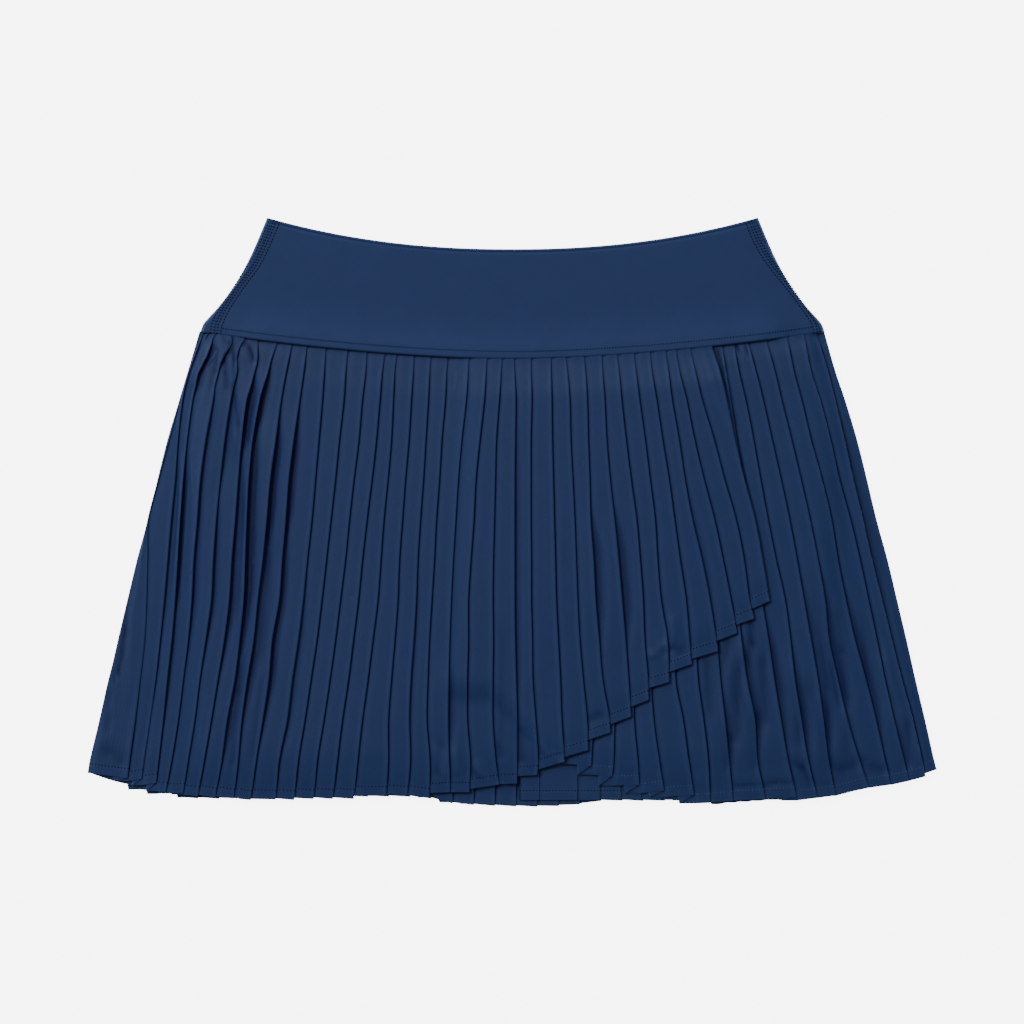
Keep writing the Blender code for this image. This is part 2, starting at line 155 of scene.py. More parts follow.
# across: how far a point round an edge lies from the edge's x; drop: how far below its top
EdgePoint = namedtuple("EdgePoint", "across drop")
FIRST_EDGE = (EdgePoint(0.35, 2.4), EdgePoint(0.0, 1.7), EdgePoint(0.0, 0.8),
              EdgePoint(0.15, 0.25))
LAST_EDGE = (EdgePoint(0.20, 0.25), EdgePoint(0.33, 0.8), EdgePoint(0.33, 1.7),
             EdgePoint(0.0, 2.4))

# Painted light, from -1 for painted shade down in the folds to 1 for a painted highlight on pressed
# edges
PAINTED_HIGHLIGHT_SHARE = 0.80            # share of a face from which its pressed edge carries the painted highlight
# round a fold, from a painted highlight on its top to painted shade under it
FOLD_PAINTED_LIGHT = (1.0, 0.34, -0.32, -0.98)
# a slight painted highlight where a last face bends down to its edge
END_PAINTED_HIGHLIGHT = 0.3
FOLD_SHADE = 2.1             # width of the painted shade right of a fold
FAINT_SHADE = 0.3            # share of it where the pleats are sewn flat
SOFT_SHADE = 0.35            # the same across a wide, shallow opening
SUNK_SHADE = 0.8             # share of it that a fold that lies low loses
HEM_SHADE = (2.0, 10.0)      # distance from the hem over which it begins
CLIMB_SHADE = 0.17           # painted shade where the panels climb from the seam and catch more of the key light
CREASE_PAINTED_LIGHT = 0.40           # painted shade in a trough and painted highlight on a ridge, for each millimetre of its depth or height
CREASE_PAINTED_LIGHT_RANGE = (-1.0, 0.5)

# Panels
PANEL_ROWS = 76
BACK_ROWS = 52
ROW_CROWDING = 0.60          # how much closer together rows are near the seam and the hem
RELIEF_DEPTH = 25.0          # distance below the seam where the pleats stand fully
FRONT_RELIEF_DEPTH = 12.0    # the same at the outer ends of the two front panels
OVER_ENDS = (-150.0, -110.0)    # x over which the one becomes the other, on the over panel
UNDER_ENDS = (115.0, 150.0)     # and on the under panel
SEWN_IN = 0.7                # the pleats' tops reach under the band's rounded edge
SOLID_CLOTH = 1.0            # walls and rise of the solids, which set what lies on what
SOLID_RISE = 1.75
SOLID_SEAM_RELIEF = 0.2
HEM_DEPTH = 6.2              # turned-up cloth along a hem, sewn at its top
HEM_TURN = 0.7               # half of the distance over which it starts
HEM_RISE = 0.22
HEM_PRESS = 0.68             # the pleats lie flatter at their hem
HEM_PRESS_DEPTH = 18.0
FLATTEST = 0.64

SIDE_RAMP_SEAM = (190.0, 203.0)
SIDE_RAMP_LOWER = (200.0, 220.0)
SIDE_RAMP_Y = (110.0, 50.0)
WRAP_RAMP = (34.0, 18.0)
SETTLE_Y = (-190.0, -153.0)  # the panels sink onto the back panel here, below the shorts
HEM_SETTLE = 14.0            # and the over panel sinks over this depth below the under panel's hem

# Folds, in the photograph's pixels. seam: x at the band; rows: x at each of PHOTO_ROWS; tip: the
# fold's corner at the hem; hem_y: where the hem of its own face starts, at the last fold
TIP_ROOM = 8                 # a row this close above the corner is left out
PHOTO_ROWS = (372, 400, 440, 480, 520, 560, 600, 640, 680, 720, 760)
Fold = namedtuple("Fold", "name seam rows tip_x tip_y hem_y")
OVER_FOLDS = [
    Fold("side", 200, (188.4, 180, 169, 158.3, 147.7, 138, 128, 119, 108.5, 99.5, 90),
         88, 772, 772),
    Fold("f1", 201.6, (188.7, 180.3, 169.3, 158.6, 148.6, 147.5, 146.5, 144.5, 140, 135, 129.5),
         127.5, 778, 773),
    Fold("f2", 203.9, (189.2, 182.5, 178, 175, 171, 167.5, 164, 160, 155.5, 150, 144),
         141.5, 779, 781),
    Fold("f3", 216, (198.5, 192.5, 187, 183, 180, 177.5, 175, 171.5, 167, 163, 158.5),
         156, 783, 785),
    Fold("f4", 231, (218.5, 213, 205.5, 200, 197, 193.5, 191.5, 188, 183, 178, 171.5),
         165.5, 792, 791),
    Fold("f5", 246, (237, 230.5, 224.5, 220, 216, 213, 211, 205.5, 199.5, 194.5, 188),
         183, 793, 793),
    Fold("f6", 259, (254.5, 246.5, 241.5, 238, 235, 231.5, 229, 224, 217.5, 211, 204),
         197.5, 796, 794.5),
    Fold("f7", 278, (268, 259.5, 252.5, 248.5, 246.5, 245, 243.5, 239.5, 234.5, 227, 221.5),
         215, 797.5, 794.5),
    Fold("f8", 292, (286, 281, 275.5, 270, 266.5, 262.5, 257.5, 253.5, 247, 241.5, 238),
         233.5, 798.5, 796),
    Fold("f9", 307, (303.5, 299.5, 293.5, 288.5, 285.5, 282, 279, 272, 268.5, 262.5, 256),
         250.5, 800, 797.5),
    Fold("f10", 326, (324, 322, 318.5, 315, 311.5, 307, 303, 298, 292, 287, 279),
         275.5, 799.5, 799),
    Fold("f11", 348, (345.5, 343.5, 339, 335, 330.5, 326, 321.5, 316.5, 310.5, 304.5, 298),
         294, 800, 798.5),
    Fold("f12", 367, (365.5, 362, 358.5, 353.5, 349, 345, 340, 335, 329.5, 323.5, 317),
         313.5, 799, 798),
    Fold("f13", 385, (382, 379.5, 376, 371.5, 366.5, 362, 358, 353, 348, 342, 337),
         332.5, 799, 797.5),
    Fold("f14", 397, (394.5, 393, 391, 387.5, 383.5, 380.5, 377.5, 372.5, 367.5, 362, 357.5),
         353.5, 799, 797.5),
    Fold("f15", 414, (413, 411, 408.5, 405, 402, 399, 397.5, 394.5, 391, 388, 388),
         386, 796, 796),
    Fold("f16", 431, (429.5, 428, 425.5, 423, 420, 417.5, 416, 413.5, 410.5, 409, 410),
         407, 796, 794),
    Fold("f17", 448, (446.5, 445, 441.5, 439, 436, 434, 431.5, 429, 427.5, 426.5, 429.5),
         429, 798, 795),
    Fold("f18", 469, (468, 466, 461.5, 458, 455.5, 453, 451, 449.5, 448.5, 448, 449),
         450, 792, 793),
    Fold("f19", 487, (486, 484, 479.5, 475.5, 473.5, 470.5, 468, 468, 467, 467, 470),
         469, 792, 792),
    Fold("f20", 502, (501, 499, 496, 495, 494, 493, 492.5, 493, 492.5, 492.5, 495.5),
         499, 784.5, 789),
    Fold("f21", 514, (514.5, 515.5, 515, 514.5, 514.5, 514.5, 514.5, 515, 516, 517, 517),
         517, 783.5, 784),
    Fold("f22", 531, (531, 531.5, 530.5, 530.5, 530.5, 531, 531, 532, 532.5, 535.5, 538),
         537, 775, 776),
    Fold("f23", 551, (551, 551.5, 552, 553, 554, 555, 556, 558, 560, 561.5, None),
         564.5, 761.5, 769.5),
    Fold("f24", 566, (567.5, 569.5, 570.5, 572.5, 574.5, 576, 577.5, 579.5, 583, 587, None),
         588, 750, 757),
    Fold("f25", 584, (585.5, 587, 588, 589.5, 590.5, 593.5, 595.5, 599, 602.5, 609.5, None),
         610, 732.5, 740),
    Fold("f26", 602, (602.5, 604.5, 606.5, 610, 614.5, 618.5, 622, 625.5, 628.5, None, None),
         631, 716.5, 724.5),
    Fold("f27", 617, (619, 621.5, 626, 631, 636.5, 640, 643, 644.5, 648, None, None),
         648.5, 700, 707),
    Fold("f28", 634, (636, 639.5, 645, 650, 655, 657.5, 661, 667.5, None, None, None),
         669, 682, 688),
    Fold("f29", 650, (652, 656.5, 662.5, 669, 674.5, 680, 686, 689.5, None, None, None),
         691.5, 664, 672),
    Fold("f30", 665.5, (668.5, 672, 679, 685, 692.5, 702, 710, None, None, None, None),
         718, 651, 659),
    Fold("f31", 676, (679.5, 686.5, 694.5, 704, 714.5, 723, 731, None, None, None, None),
         737, 633, 641),
    Fold("f32", 690, (695.5, 702, 714, 724.5, 736, 744, 749.5, None, None, None, None),
         754, 618.5, 625),
    Fold("f33", 711.6, (720, 726.6, 735, 744.5, 755, 762.5, None, None, None, None, None),
         769.5, 601, 609),
]
UNDER_FOLDS = [
    Fold("h13", 508, (None, None, 505, None, 500, None, 496, None, None, None, None),
         489.5, 680.5, 690),
    Fold("h12", 528, (None, None, 522, None, 517, None, 514, None, None, None, None),
         509.5, 699, 690),
    Fold("h11", 551, (None, None, 545.5, None, 540, None, 535.5, None, 531, None, None),
         529.5, 720, 708),
    Fold("h10", 574, (None, None, 568.5, None, 563, None, 558, None, 553, None, None),
         549.5, 739, 729),
    Fold("h9", 597, (None, None, 590.5, None, 584.5, None, 579, None, 574, None, None),
         570, 753, 748),
    Fold("h8", 620, (None, None, 613.5, None, 606.5, None, 600, None, 596, 593.5, 592),
         591, 766, 764),
    Fold("h7", 635, (None, None, 629, None, 624, None, 620, None, 616.5, 614.5, 613.5),
         612, 776.5, 774.5),
    Fold("h6", 648, (None, None, 644, None, 640, None, 636.5, None, 634, 634, 637.5),
         639, 785, 785.5),
    Fold("h5", 661, (None, None, 658, None, 655, None, 652, None, 651, 653.5, 659),
         664, 790.5, 793.5),
    Fold("h4", 674, (None, None, 673.5, None, 673, None, 673.5, None, 675.5, 683, 688.5),
         694, 795, 797),
    Fold("h3", 687, (None, None, 688.5, None, 691, None, 694, None, 698, 703.5, 708),
         710, 803, 803.5),
    Fold("h2", 700, (None, None, 704, None, 708.5, None, 714, None, 720.5, 725, 729),
         733, 801, 802.5),
    Fold("h1", 711.5, (None, None, 720, None, 728.5, None, 737, 741.5, 747, 755, 757.5),
         765.5, 799, 800.5),
    Fold("g0", 722, (None, None, 737, 743, 749, 755.5, 762, 768.5, 774.5, 781, 788),
         796.5, 797, 798.5),
    Fold("g1", 734, (739, 745.5, 753.5, 760.5, 768, 776, 785, 790.5, 795, 801.5, 808),
         817.5, 798, 800.6),
    Fold("g2", 748, (756, 763, 772, 781, 789.5, 797, 804, 811, 818, 823.5, 828.5),
         835.5, 795.6, 798),
    Fold("g3", 766, (775, 781.5, 791.5, 801, 810, 818, 825, 829, 838, 847.5, 859.5),
         868.6, 787.2, 796),
    Fold("g4", 787, (794, 801.5, 811, 822, 831.5, 838, 846, 855, 866, 876, 885),
         891, 784.8, 788),
    Fold("g5", 804, (811, 820, 830.5, 839.5, 850.5, 860, 868.5, 877, 885, 894, 904),
         909, 781.2, 785),
    Fold("g6", 816, (828, 835, 844.5, 853.5, 863, 872, 882, 892, 902, 913, 922),
         925.6, 776.6, 781),
    Fold("side", 824, (835.5, 845, 857, 867, 876.5, 887.5, 897, 906.5, 915.5, 925, 934),
         936.5, 769.6, 773.6),
]

# More points of the folds that are gathered unevenly under the band's left end
Spot = namedtuple("Spot", "x y")
GATHERED = {
    "f3": (Spot(213, 338), Spot(211, 345), Spot(209, 350), Spot(207, 356), Spot(204, 361.5),
           Spot(201, 368), Spot(195.6, 386)),
    "f4": (Spot(232.2, 341.5), Spot(229, 348), Spot(225, 354.5), Spot(222, 360), Spot(219.8, 366),
           Spot(214.8, 386)),
    "f5": (Spot(242, 343), Spot(239.7, 347), Spot(238, 352), Spot(236.8, 358), Spot(237, 364),
           Spot(233.5, 386)),
    "f6": (Spot(257.6, 343), Spot(257.6, 352), Spot(257.3, 360), Spot(256.3, 366),
           Spot(250.8, 386)),
    "f7": (Spot(275.6, 347), Spot(273.8, 352), Spot(270.8, 361), Spot(263.4, 386)),
}

# Back panel: x of its folds at the hem, uneven where they show, and the hem's own line
BackFold = namedtuple("BackFold", "tip_x tip_y hem_y")
BACK_LEFT = [BackFold(142, 786.5, 772), BackFold(156, 791.5, 789.5), BackFold(171.5, 792.5, 794),
             BackFold(187.5, 795, 793.5), BackFold(198, 798.5, 797.5)]
BACK_SAG = 1.3               # how far the first of these faces hangs out at its hem
BACK_RIGHT = [BackFold(707, 801, 800.5), BackFold(719, 802.8, 802.5), BackFold(735.3, 801, 804.3),
              BackFold(748.2, 800.2, 802.6), BackFold(760, 799.2, 801.8),
              BackFold(776.4, 798.2, 800.9), BackFold(782, 798.8, 799.8),
              BackFold(801, 798.4, 800), BackFold(821, 797, 798.5), BackFold(836, 795, 796.5),
              BackFold(854.5, 788.8, 794.5), BackFold(868.8, 788, 791),
              BackFold(888, 784.6, 787), BackFold(912, 779.5, 783.5)]
BACK_MIDDLE_COUNT = 24
BACK_STEP = -1.0             # the middle ones start this much higher than the fold before them
BACK_END_Y = 775             # where the hem of its last face starts
HemPoint = namedtuple("HemPoint", "x y")
BACK_HEM = [
    HemPoint(88, 772), HemPoint(115, 782), HemPoint(142, 786.5), HemPoint(156, 791.5),
    HemPoint(171.5, 793), HemPoint(188, 796), HemPoint(200, 798.5), HemPoint(243, 798.5),
    HemPoint(421, 797), HemPoint(450, 803), HemPoint(474, 805), HemPoint(495.5, 806),
    HemPoint(520, 806.6), HemPoint(545, 806.7), HemPoint(577, 804.8), HemPoint(600, 801),
    HemPoint(676, 800), HemPoint(936.5, 769.8),
]
# A wide lap of the back panel, lying on its pleats at the bottom centre: x of its folds, and shade,
# how much painted shade lies right of each
LapFold = namedtuple("LapFold", "x shade")
LAP_FOLDS = [LapFold(519, 1.0), LapFold(539, 0.35), LapFold(577, 1.0), LapFold(599.5, 1.0),
             LapFold(620.5, 1.0), LapFold(641, 0.8), LapFold(662, 0.8), LapFold(690, 0.8)]
LAP_HEM_Y = 800
LAP_TOP_Y = 742
LAP_HEIGHT = 2.4             # above the floor
LAP_RISE = 0.55
LAP_FADE = 12.0              # distance over which the pleats sink under it
LAP_STEPS = 23
LAP_RISEN = 0.25             # share of its length over which it rises from the pleats
LAP_KNEE = 0.3               # share of a face over which it climbs most
LAP_KNEE_SHARE = 0.6         # share of the height climbed there
LAP_PAINTED_HIGHLIGHT_SHARE = 0.9         # share of a face from which its edge carries a painted highlight
LAP_FACE_SHARES = (0.0, 0.03, 0.07, 0.15, 0.3, 0.5, 0.75, 0.94, 1.0)
LAP_STITCH_SHARES = (0.06, 0.3, 0.5, 0.75, 0.94)

# Wider shadows: the face right of a fold stays low for a while. In the photograph's pixels
Opening = namedtuple("Opening", "fold top_y low_y width lift")
OVER_OPENINGS = [
    Opening("f1", 470, 790, 0, -0.9),
    Opening("f2", 445, 650, 5, 0.3),
    Opening("f2", 670, 800, 0, -0.8),
    Opening("f3", 334, 400, 4.5, 1.2),
    Opening("f3", 440, 640, 5, 1.4),
    Opening("f3", 590, 740, 3.5, 0.6),
    Opening("f4", 336, 372, 3, 0.6),
    Opening("f4", 390, 530, 4, 0.7),
    Opening("f4", 440, 680, 3.5, 0.9),
    Opening("f5", 372, 500, 4, 0.8),
    Opening("f5", 490, 680, 3.5, 0.9),
    Opening("f6", 368, 470, 7, 1.9),
    Opening("f6", 425, 700, 6.5, 1.1),
    Opening("f7", 360, 450, 6, 1.9),
    Opening("f7", 380, 700, 8, 1.8),
    Opening("f7", 640, 775, 8, 0.7),
    Opening("f8", 400, 590, 6.5, 1.8),
    Opening("f8", 480, 760, 8, 1.0),
    Opening("f9", 395, 570, 5.5, 1.6),
    Opening("f9", 480, 770, 6, 1.2),
    Opening("f10", 560, 790, 5, 0.4),
    Opening("f16", 560, 780, 3, 0.3),
    Opening("f18", 660, 756, 6, 0.6),
    Opening("f21", 372, 775, 5, 0.5),
    Opening("f25", 500, 660, 8, 0.8),
    Opening("f26", 500, 660, 9, 0.8),
    Opening("f30", 480, 640, 3, 0.3),
]
UNDER_OPENINGS = [
    Opening("h2", 690, 775, 6, 0.5),
    Opening("h1", 620, 775, 7, 0.6),
    Opening("g0", 600, 775, 7, 0.5),
    Opening("g1", 640, 780, 6, 0.6),
    Opening("g2", 570, 780, 8, 0.5),
    Opening("g3", 560, 760, 7, 0.5),
    Opening("g4", 580, 760, 8, 0.6),
    Opening("g5", 680, 775, 4, 0.3),
    Opening("g6", 390, 660, 7, 0.4),
]

# Soft creases across the pleats, in the photograph's pixels; rise in millimetres, below 0 a trough
CREASE_REACH = 2.6           # a crease is felt this many of its widths away
Crease = namedtuple("Crease", "start_x start_y end_x end_y width rise")
OVER_CREASES = [
    Crease(231.6, 343, 231, 350, 2.3, -2.8),
    Crease(232.6, 352, 234.5, 358, 1.6, -1.7),
    Crease(234.5, 358, 236, 364, 1.6, -1.5),
    Crease(225.5, 355, 224.5, 362, 1.9, -1.6),
    Crease(224.5, 362, 225, 372, 1.8, -1.5),
    Crease(225, 372, 227, 388, 1.8, -1.4),
    Crease(227, 388, 229.5, 391, 1.3, -0.9),
    Crease(231, 360, 231, 384, 2.6, 0.8),
    Crease(244.3, 341, 243.8, 345, 1.8, -2.4),
    Crease(246.3, 343, 250, 349, 1.8, -2.1),
    Crease(250, 349, 252.8, 356, 1.8, -2.1),
    Crease(252.8, 356, 254, 361.5, 1.6, -1.7),
    Crease(215.8, 350, 214.5, 372, 2.8, -1.3),
    Crease(214.5, 372, 212.5, 388, 2.6, -0.9),
    Crease(206, 378, 203, 398, 3.0, 0.5),
    Crease(223.8, 336.5, 224.5, 341.5, 1.2, -1.4),
    Crease(224.5, 341.5, 229, 342.8, 1.1, -1.0),
    Crease(231.5, 336.5, 232.3, 339, 1.3, -2.0),
    Crease(228, 338, 228.5, 340, 2.0, 0.9),
    Crease(233.8, 388, 235, 402, 1.8, -1.0),
    Crease(235, 402, 238, 424, 2.0, -1.0),
    Crease(238, 424, 240, 440, 2.0, -0.7),
    Crease(127.5, 602, 125, 630, 1.6, -1.5),
    Crease(125, 630, 121.5, 658, 2.2, -1.9),
    Crease(121.5, 658, 118, 671, 1.8, -1.7),
    Crease(118, 671, 112, 681, 1.5, -1.2),
    Crease(110, 688, 107, 730, 1.5, -0.7),
    Crease(108, 752, 122, 760, 6, -0.8),
    Crease(244, 455, 241, 500, 1.3, 0.6),
    Crease(241, 500, 238, 545, 1.3, 0.6),
    Crease(238, 545, 235, 600, 1.3, 0.5),
    Crease(244, 500, 241, 560, 1.3, -0.7),
    Crease(241, 560, 237, 615, 1.3, -0.7),
    Crease(270, 555, 269, 600, 3.2, -0.6),
    Crease(269, 600, 262, 660, 3.2, -0.6),
    Crease(263, 560, 256, 650, 2.6, 0.5),
    Crease(243, 620, 239, 690, 3.0, -0.6),
    Crease(239, 690, 232, 765, 3.0, -0.6),
    Crease(262, 680, 254, 760, 2.6, -0.5),
    Crease(438, 752, 446, 768, 6, 1.0),
    Crease(441, 746, 438, 772, 4, -0.8),
    Crease(454, 752, 458, 768, 4, 0.9),
    Crease(478, 766, 488, 774, 5, 1.0),
    Crease(470, 770, 482, 778, 4, -0.6),
    Crease(499, 746, 501, 756, 4, -1.0),
    Crease(520, 732, 522, 760, 4, -1.0),
    Crease(503, 637, 503, 737, 4, -0.3),
    Crease(672, 622, 673, 634, 6, 1.0),
    Crease(650, 655, 668, 645, 4, 1.0),
    Crease(654, 650, 664, 652, 3, -0.8),
    Crease(672, 648, 681, 652, 4, -1.0),
    Crease(592, 720, 600, 716, 4, -0.8),
    Crease(705, 354, 713, 380, 3, 0.4),
    Crease(713, 380, 731, 430, 3, 0.4),
]
UNDER_CREASES = [
    Crease(717, 351, 722.5, 372, 2.6, -2.2),
    Crease(722.5, 372, 729.5, 400, 2.8, -2.2),
    Crease(729.5, 400, 735, 424, 2.0, -1.6),
    Crease(735, 342.5, 739.5, 352, 1.3, -1.8),
    Crease(744, 343, 749, 354, 1.2, -1.3),
    Crease(741, 344, 744, 352, 1.8, 0.7),
    Crease(816, 638, 825, 722, 2.2, 0.5),
    Crease(832, 664, 840, 704, 2.6, -0.9),
    Crease(751, 618, 752, 642, 4, -1.2),
    Crease(752, 642, 747, 664, 4, -1.2),
    Crease(744, 622, 742, 655, 4, 0.9),
    Crease(728, 645, 722, 668, 4, -1.0),
    Crease(707, 660, 710, 715, 5, -0.8),
    Crease(739, 668, 736, 738, 5, -1.1),
    Crease(729, 736, 729, 766, 4, -1.0),
    Crease(763, 660, 765, 722, 5, -1.0),
    Crease(757, 716, 757, 766, 4, -1.0),
    Crease(736, 786, 757, 784.5, 2.4, -0.8),
    Crease(765, 785.5, 778, 781.5, 2.4, -0.8),
    Crease(778, 781.5, 793, 782.5, 2.4, -0.8),
    Crease(738, 779, 788, 775, 5, 0.4),
    Crease(796, 764, 802, 767, 4, -0.9),
    Crease(802, 767, 812, 783, 4, -0.9),
    Crease(842, 770, 862, 762, 6, -1.0),
    Crease(872, 768, 884, 770, 5, -0.8),
    Crease(816, 604, 822, 650, 3.5, -0.5),
    Crease(822, 650, 829, 690, 3.0, -0.6),
    Crease(838, 612, 842, 650, 3.0, -0.6),
    Crease(842, 650, 848, 700, 3.5, -0.8),
    Crease(862, 622, 868, 690, 3.0, -0.6),
    Crease(846, 712, 838, 752, 7, 0.9),
    Crease(806, 690, 800, 740, 8, -0.8),
    Crease(826, 706, 832, 766, 5, -0.9),
    Crease(770, 640, 782, 690, 5, -0.6),
    Crease(908, 725, 908, 762, 5, -0.9),
    Crease(884, 660, 897, 720, 7, 0.8),
]

# Inner shorts: a plain flat piece each side, cut away between the legs
ShortsRow = namedtuple("ShortsRow", "y outer inner")
SHORTS_CROTCH_Y = -95.0
SHORTS_ROWS = [
    ShortsRow(47.0, 186.0, 4.0),
    ShortsRow(-5.0, 188.0, 4.0),
    ShortsRow(-55.0, 187.0, 4.0),
    ShortsRow(SHORTS_CROTCH_Y, 184.0, 4.0),
    ShortsRow(-120.0, 180.0, 9.0),
    ShortsRow(-145.0, 176.0, 14.0),
]
SHORTS_SEAM_WIDTH = 178.0
SHORTS_CLOTH = 0.8
SHORTS_DEPTHS = (1.0, 10.0, 28.0)
SHORTS_LEG_COLUMNS = 10

# Stitches: from one to the next, then the length and width of each; slant is how far it leans
# from its row, in radians
Stitch = namedtuple("Stitch", "spacing length width slant")
HEM_STITCH = Stitch(2.1, 0.92, 0.80, 0.0)
BAND_STITCH = Stitch(1.83, 0.62, 1.25, 0.0)
SEAM_STITCH = Stitch(1.95, 1.05, 0.95, 0.0)
LOOP_STITCH = Stitch(1.95, 1.5, 0.9, 0.9)
HEM_THREAD_UP = 0.12         # how far the middle of each thread lies above the cloth
LAP_THREAD_UP = 0.05
BAND_THREAD_UP = 0.06
SEAM_THREAD_UP = 0.1
NEEDLE_ROWS = (0.3, 2.6, 4.3, 7.0)    # distances outward from the front seams
LOOP_ROW = 5.6
BAND_STITCH_STEPS = 120
BAND_STITCH_STOP = 1.0       # distance from the front seams where the band's stitching ends
SEAM_STEPS = 40
SEAM_ENDS = (0.01, 0.99)     # shares of the band's height between which its seams are stitched
SEAM_TO_FOLD = 1.6           # no stitch lies closer to the side fold
UNDER_FIRST_SHOWN = 5        # the under panel's first face whose hem shows

# Cuts of the plain pieces, laid out flat, in metres and square metres
Cut = namedtuple("Cut", "width length area")
FRONT_BAND_CUT = Cut(0.36, 0.084, 0.0258)
BACK_BAND_CUT = Cut(0.44, 0.084, 0.0290)
SHORTS_CUT = Cut(0.376, 0.262, 0.090)
MEASURED_DOWN = 0.6          # share of its length at which a pleated panel's width is measured

# Angles in degrees above which an edge stays sharp in the shading
CLOTH_SHARP = 55
BAND_SHARP = 60

NAVY_DEEP = (0.0132, 0.0292, 0.0975, 1.0)
NAVY = (0.0140, 0.0308, 0.1025, 1.0)
# painted highlight along the pleats' pressed edges
NAVY_PAINTED_HIGHLIGHT = (0.0190, 0.0385, 0.1200, 1.0)
NAVY_PAINTED_SHADE = (0.0005, 0.0055, 0.0430, 1.0)    # painted shade down in the folds
BAND_NAVY = (0.0158, 0.0338, 0.1120, 1.0)
# the thread itself is navy; drawn near black, these two also carry the painted shade of the dents
# the stitches sink into
THREAD_PAINTED_SHADE_DARK = (0.0012, 0.0035, 0.0180, 1.0)
THREAD_PAINTED_SHADE_DEEP = (0.0030, 0.0080, 0.0380, 1.0)
THREAD_LIGHT = (0.0300, 0.0560, 0.1500, 1.0)
THREAD_PALE = (0.0560, 0.0900, 0.2050, 1.0)

# Studio, in metres
FLOOR_WHITE = (0.93, 0.93, 0.93, 1.0)
FLOOR_GLOW = 6.0             # lifts the floor towards the photograph's white
FLOOR_REACH = 3.0
FLOOR_DROP = 0.0002          # it lies just under the garment
AIR_STRENGTH = 0.26
SQUARE_LIGHTS = [            # name, place, size, power
    ("key", (-5.1, 3.9, 7.35), 2.7, 619.0),
    ("fill", (-0.3, 1.7, 1.5), 1.2, 16.0),
]


def smoothstep(start, end, value):
    share = min(1.0, max(0.0, (value - start) / (end - start)))
    return share * share * (3.0 - 2.0 * share)


def mix(a, b, share):
    return a + (b - a) * share


def across(pixel):
    """x of a pixel column of the photograph."""
    return (pixel - PHOTO_MIDDLE_X) * PIXEL


def up_from(pixel):
    """y of a pixel row of the photograph."""
    return (PHOTO_MIDDLE_Y - pixel) * PIXEL


def through(stations, at):
    """Smooth curve through (place, value) stations sorted by falling place."""
    if at >= stations[0][0]:
        return stations[0][1]
    if at <= stations[-1][0]:
        return stations[-1][1]
    for i in range(len(stations) - 1):
        (p0, v0), (p1, v1) = stations[i], stations[i + 1]
        if at >= p1:
            break
    before = stations[max(i - 1, 0)]
    after = stations[min(i + 2, len(stations) - 1)]
    slope0 = (v1 - before[1]) / (p1 - before[0])
    slope1 = (after[1] - v0) / (after[0] - p0)
    span = p1 - p0
    t = (at - p0) / span
    bend = v0 * (1 + 2 * t) * (1 - t) ** 2 + v1 * t * t * (3 - 2 * t)
    return bend + span * (slope0 * t * (1 - t) ** 2 + slope1 * t * t * (t - 1))


def band_lower(x):
    """y of the band's lower edge at x."""
    return BAND_LOWER_Y + BAND_LOWER_RISE * min(1.0, abs(x) / BAND_HALF_WIDTH) ** BAND_LOWER_POWER


def seam_y(x):
    """y where a skirt panel or the shorts start, just under the band."""
    return band_lower(x) - SEAM_GAP


def standing(depth):
    """How fully the pleats stand at a distance below the seam: 0 where they are sewn, then 1."""
    return smoothstep(0.0, RELIEF_DEPTH, depth)


def solid_height(depth):
    """Full height of a pleated solid."""
    return SOLID_CLOTH + SOLID_RISE * mix(SOLID_SEAM_RELIEF, 1.0, standing(depth))


class Line:
    """A fold or edge of a panel, from the seam down to its corner at the hem."""

    def __init__(self, fold, gathered=None):
        self.name = fold.name
        self.seam = across(fold.seam)
        self.tip_y = up_from(fold.tip_y)
        self.hem_y = up_from(fold.hem_y)
        self.top_y = seam_y(self.seam) + SEWN_IN
        self.stations = [(self.top_y, self.seam)]
        self.stations += [(up_from(row), across(x)) for row, x in zip(PHOTO_ROWS, fold.rows)
                          if x is not None and row < fold.tip_y - TIP_ROOM]
        if gathered:
            self.stations += [(up_from(spot.y), across(spot.x)) for spot in gathered]
        self.stations.append((self.tip_y, across(fold.tip_x)))
        self.stations.sort(reverse=True)

    def x(self, y):
        return through(self.stations, y)


def shorts_share(x, y):
    """1 over the shorts, falling to 0 at the side seams and below the legs."""
    lower = smoothstep(*SIDE_RAMP_Y, y)
    start, end = (mix(a, b, lower) for a, b in zip(SIDE_RAMP_SEAM, SIDE_RAMP_LOWER))
    return (1.0 - smoothstep(start, end, abs(x))) * smoothstep(*SETTLE_Y, y)


UNDER_LINES = [Line(fold) for fold in UNDER_FOLDS]
OVER_LINES = [Line(fold, GATHERED.get(fold.name)) for fold in OVER_FOLDS]


def under_hem(x):
    """y of the under panel's hem at x."""
    stations = [(-line.stations[-1][1], line.tip_y) for line in UNDER_LINES]
    return through(stations, -x)


def under_share(x, y):
    """1 over the under panel, falling to 0 left of its free edge and below its hem."""
    edge = UNDER_LINES[0].x(y)
    hem = under_hem(x)
    return (smoothstep(edge - WRAP_RAMP[0], edge - WRAP_RAMP[1], x)
            * smoothstep(hem - HEM_SETTLE, hem - 1.0, y))


def on_floor(x, y):
    return 0.0


def over_back(x, y):
    return solid_height(seam_y(x) - y) + SEAM_GAP


def over_back_shorts(x, y):
    return over_back(x, y) + SOLID_CLOTH + SEAM_GAP


def over_shorts(x, y):
    return over_back(x, y) + 2.0 * (SOLID_CLOTH + SEAM_GAP) * shorts_share(x, y)


def over_under(x, y):
    return over_shorts(x, y) + (solid_height(seam_y(x) - y) + SEAM_GAP) * under_share(x, y)


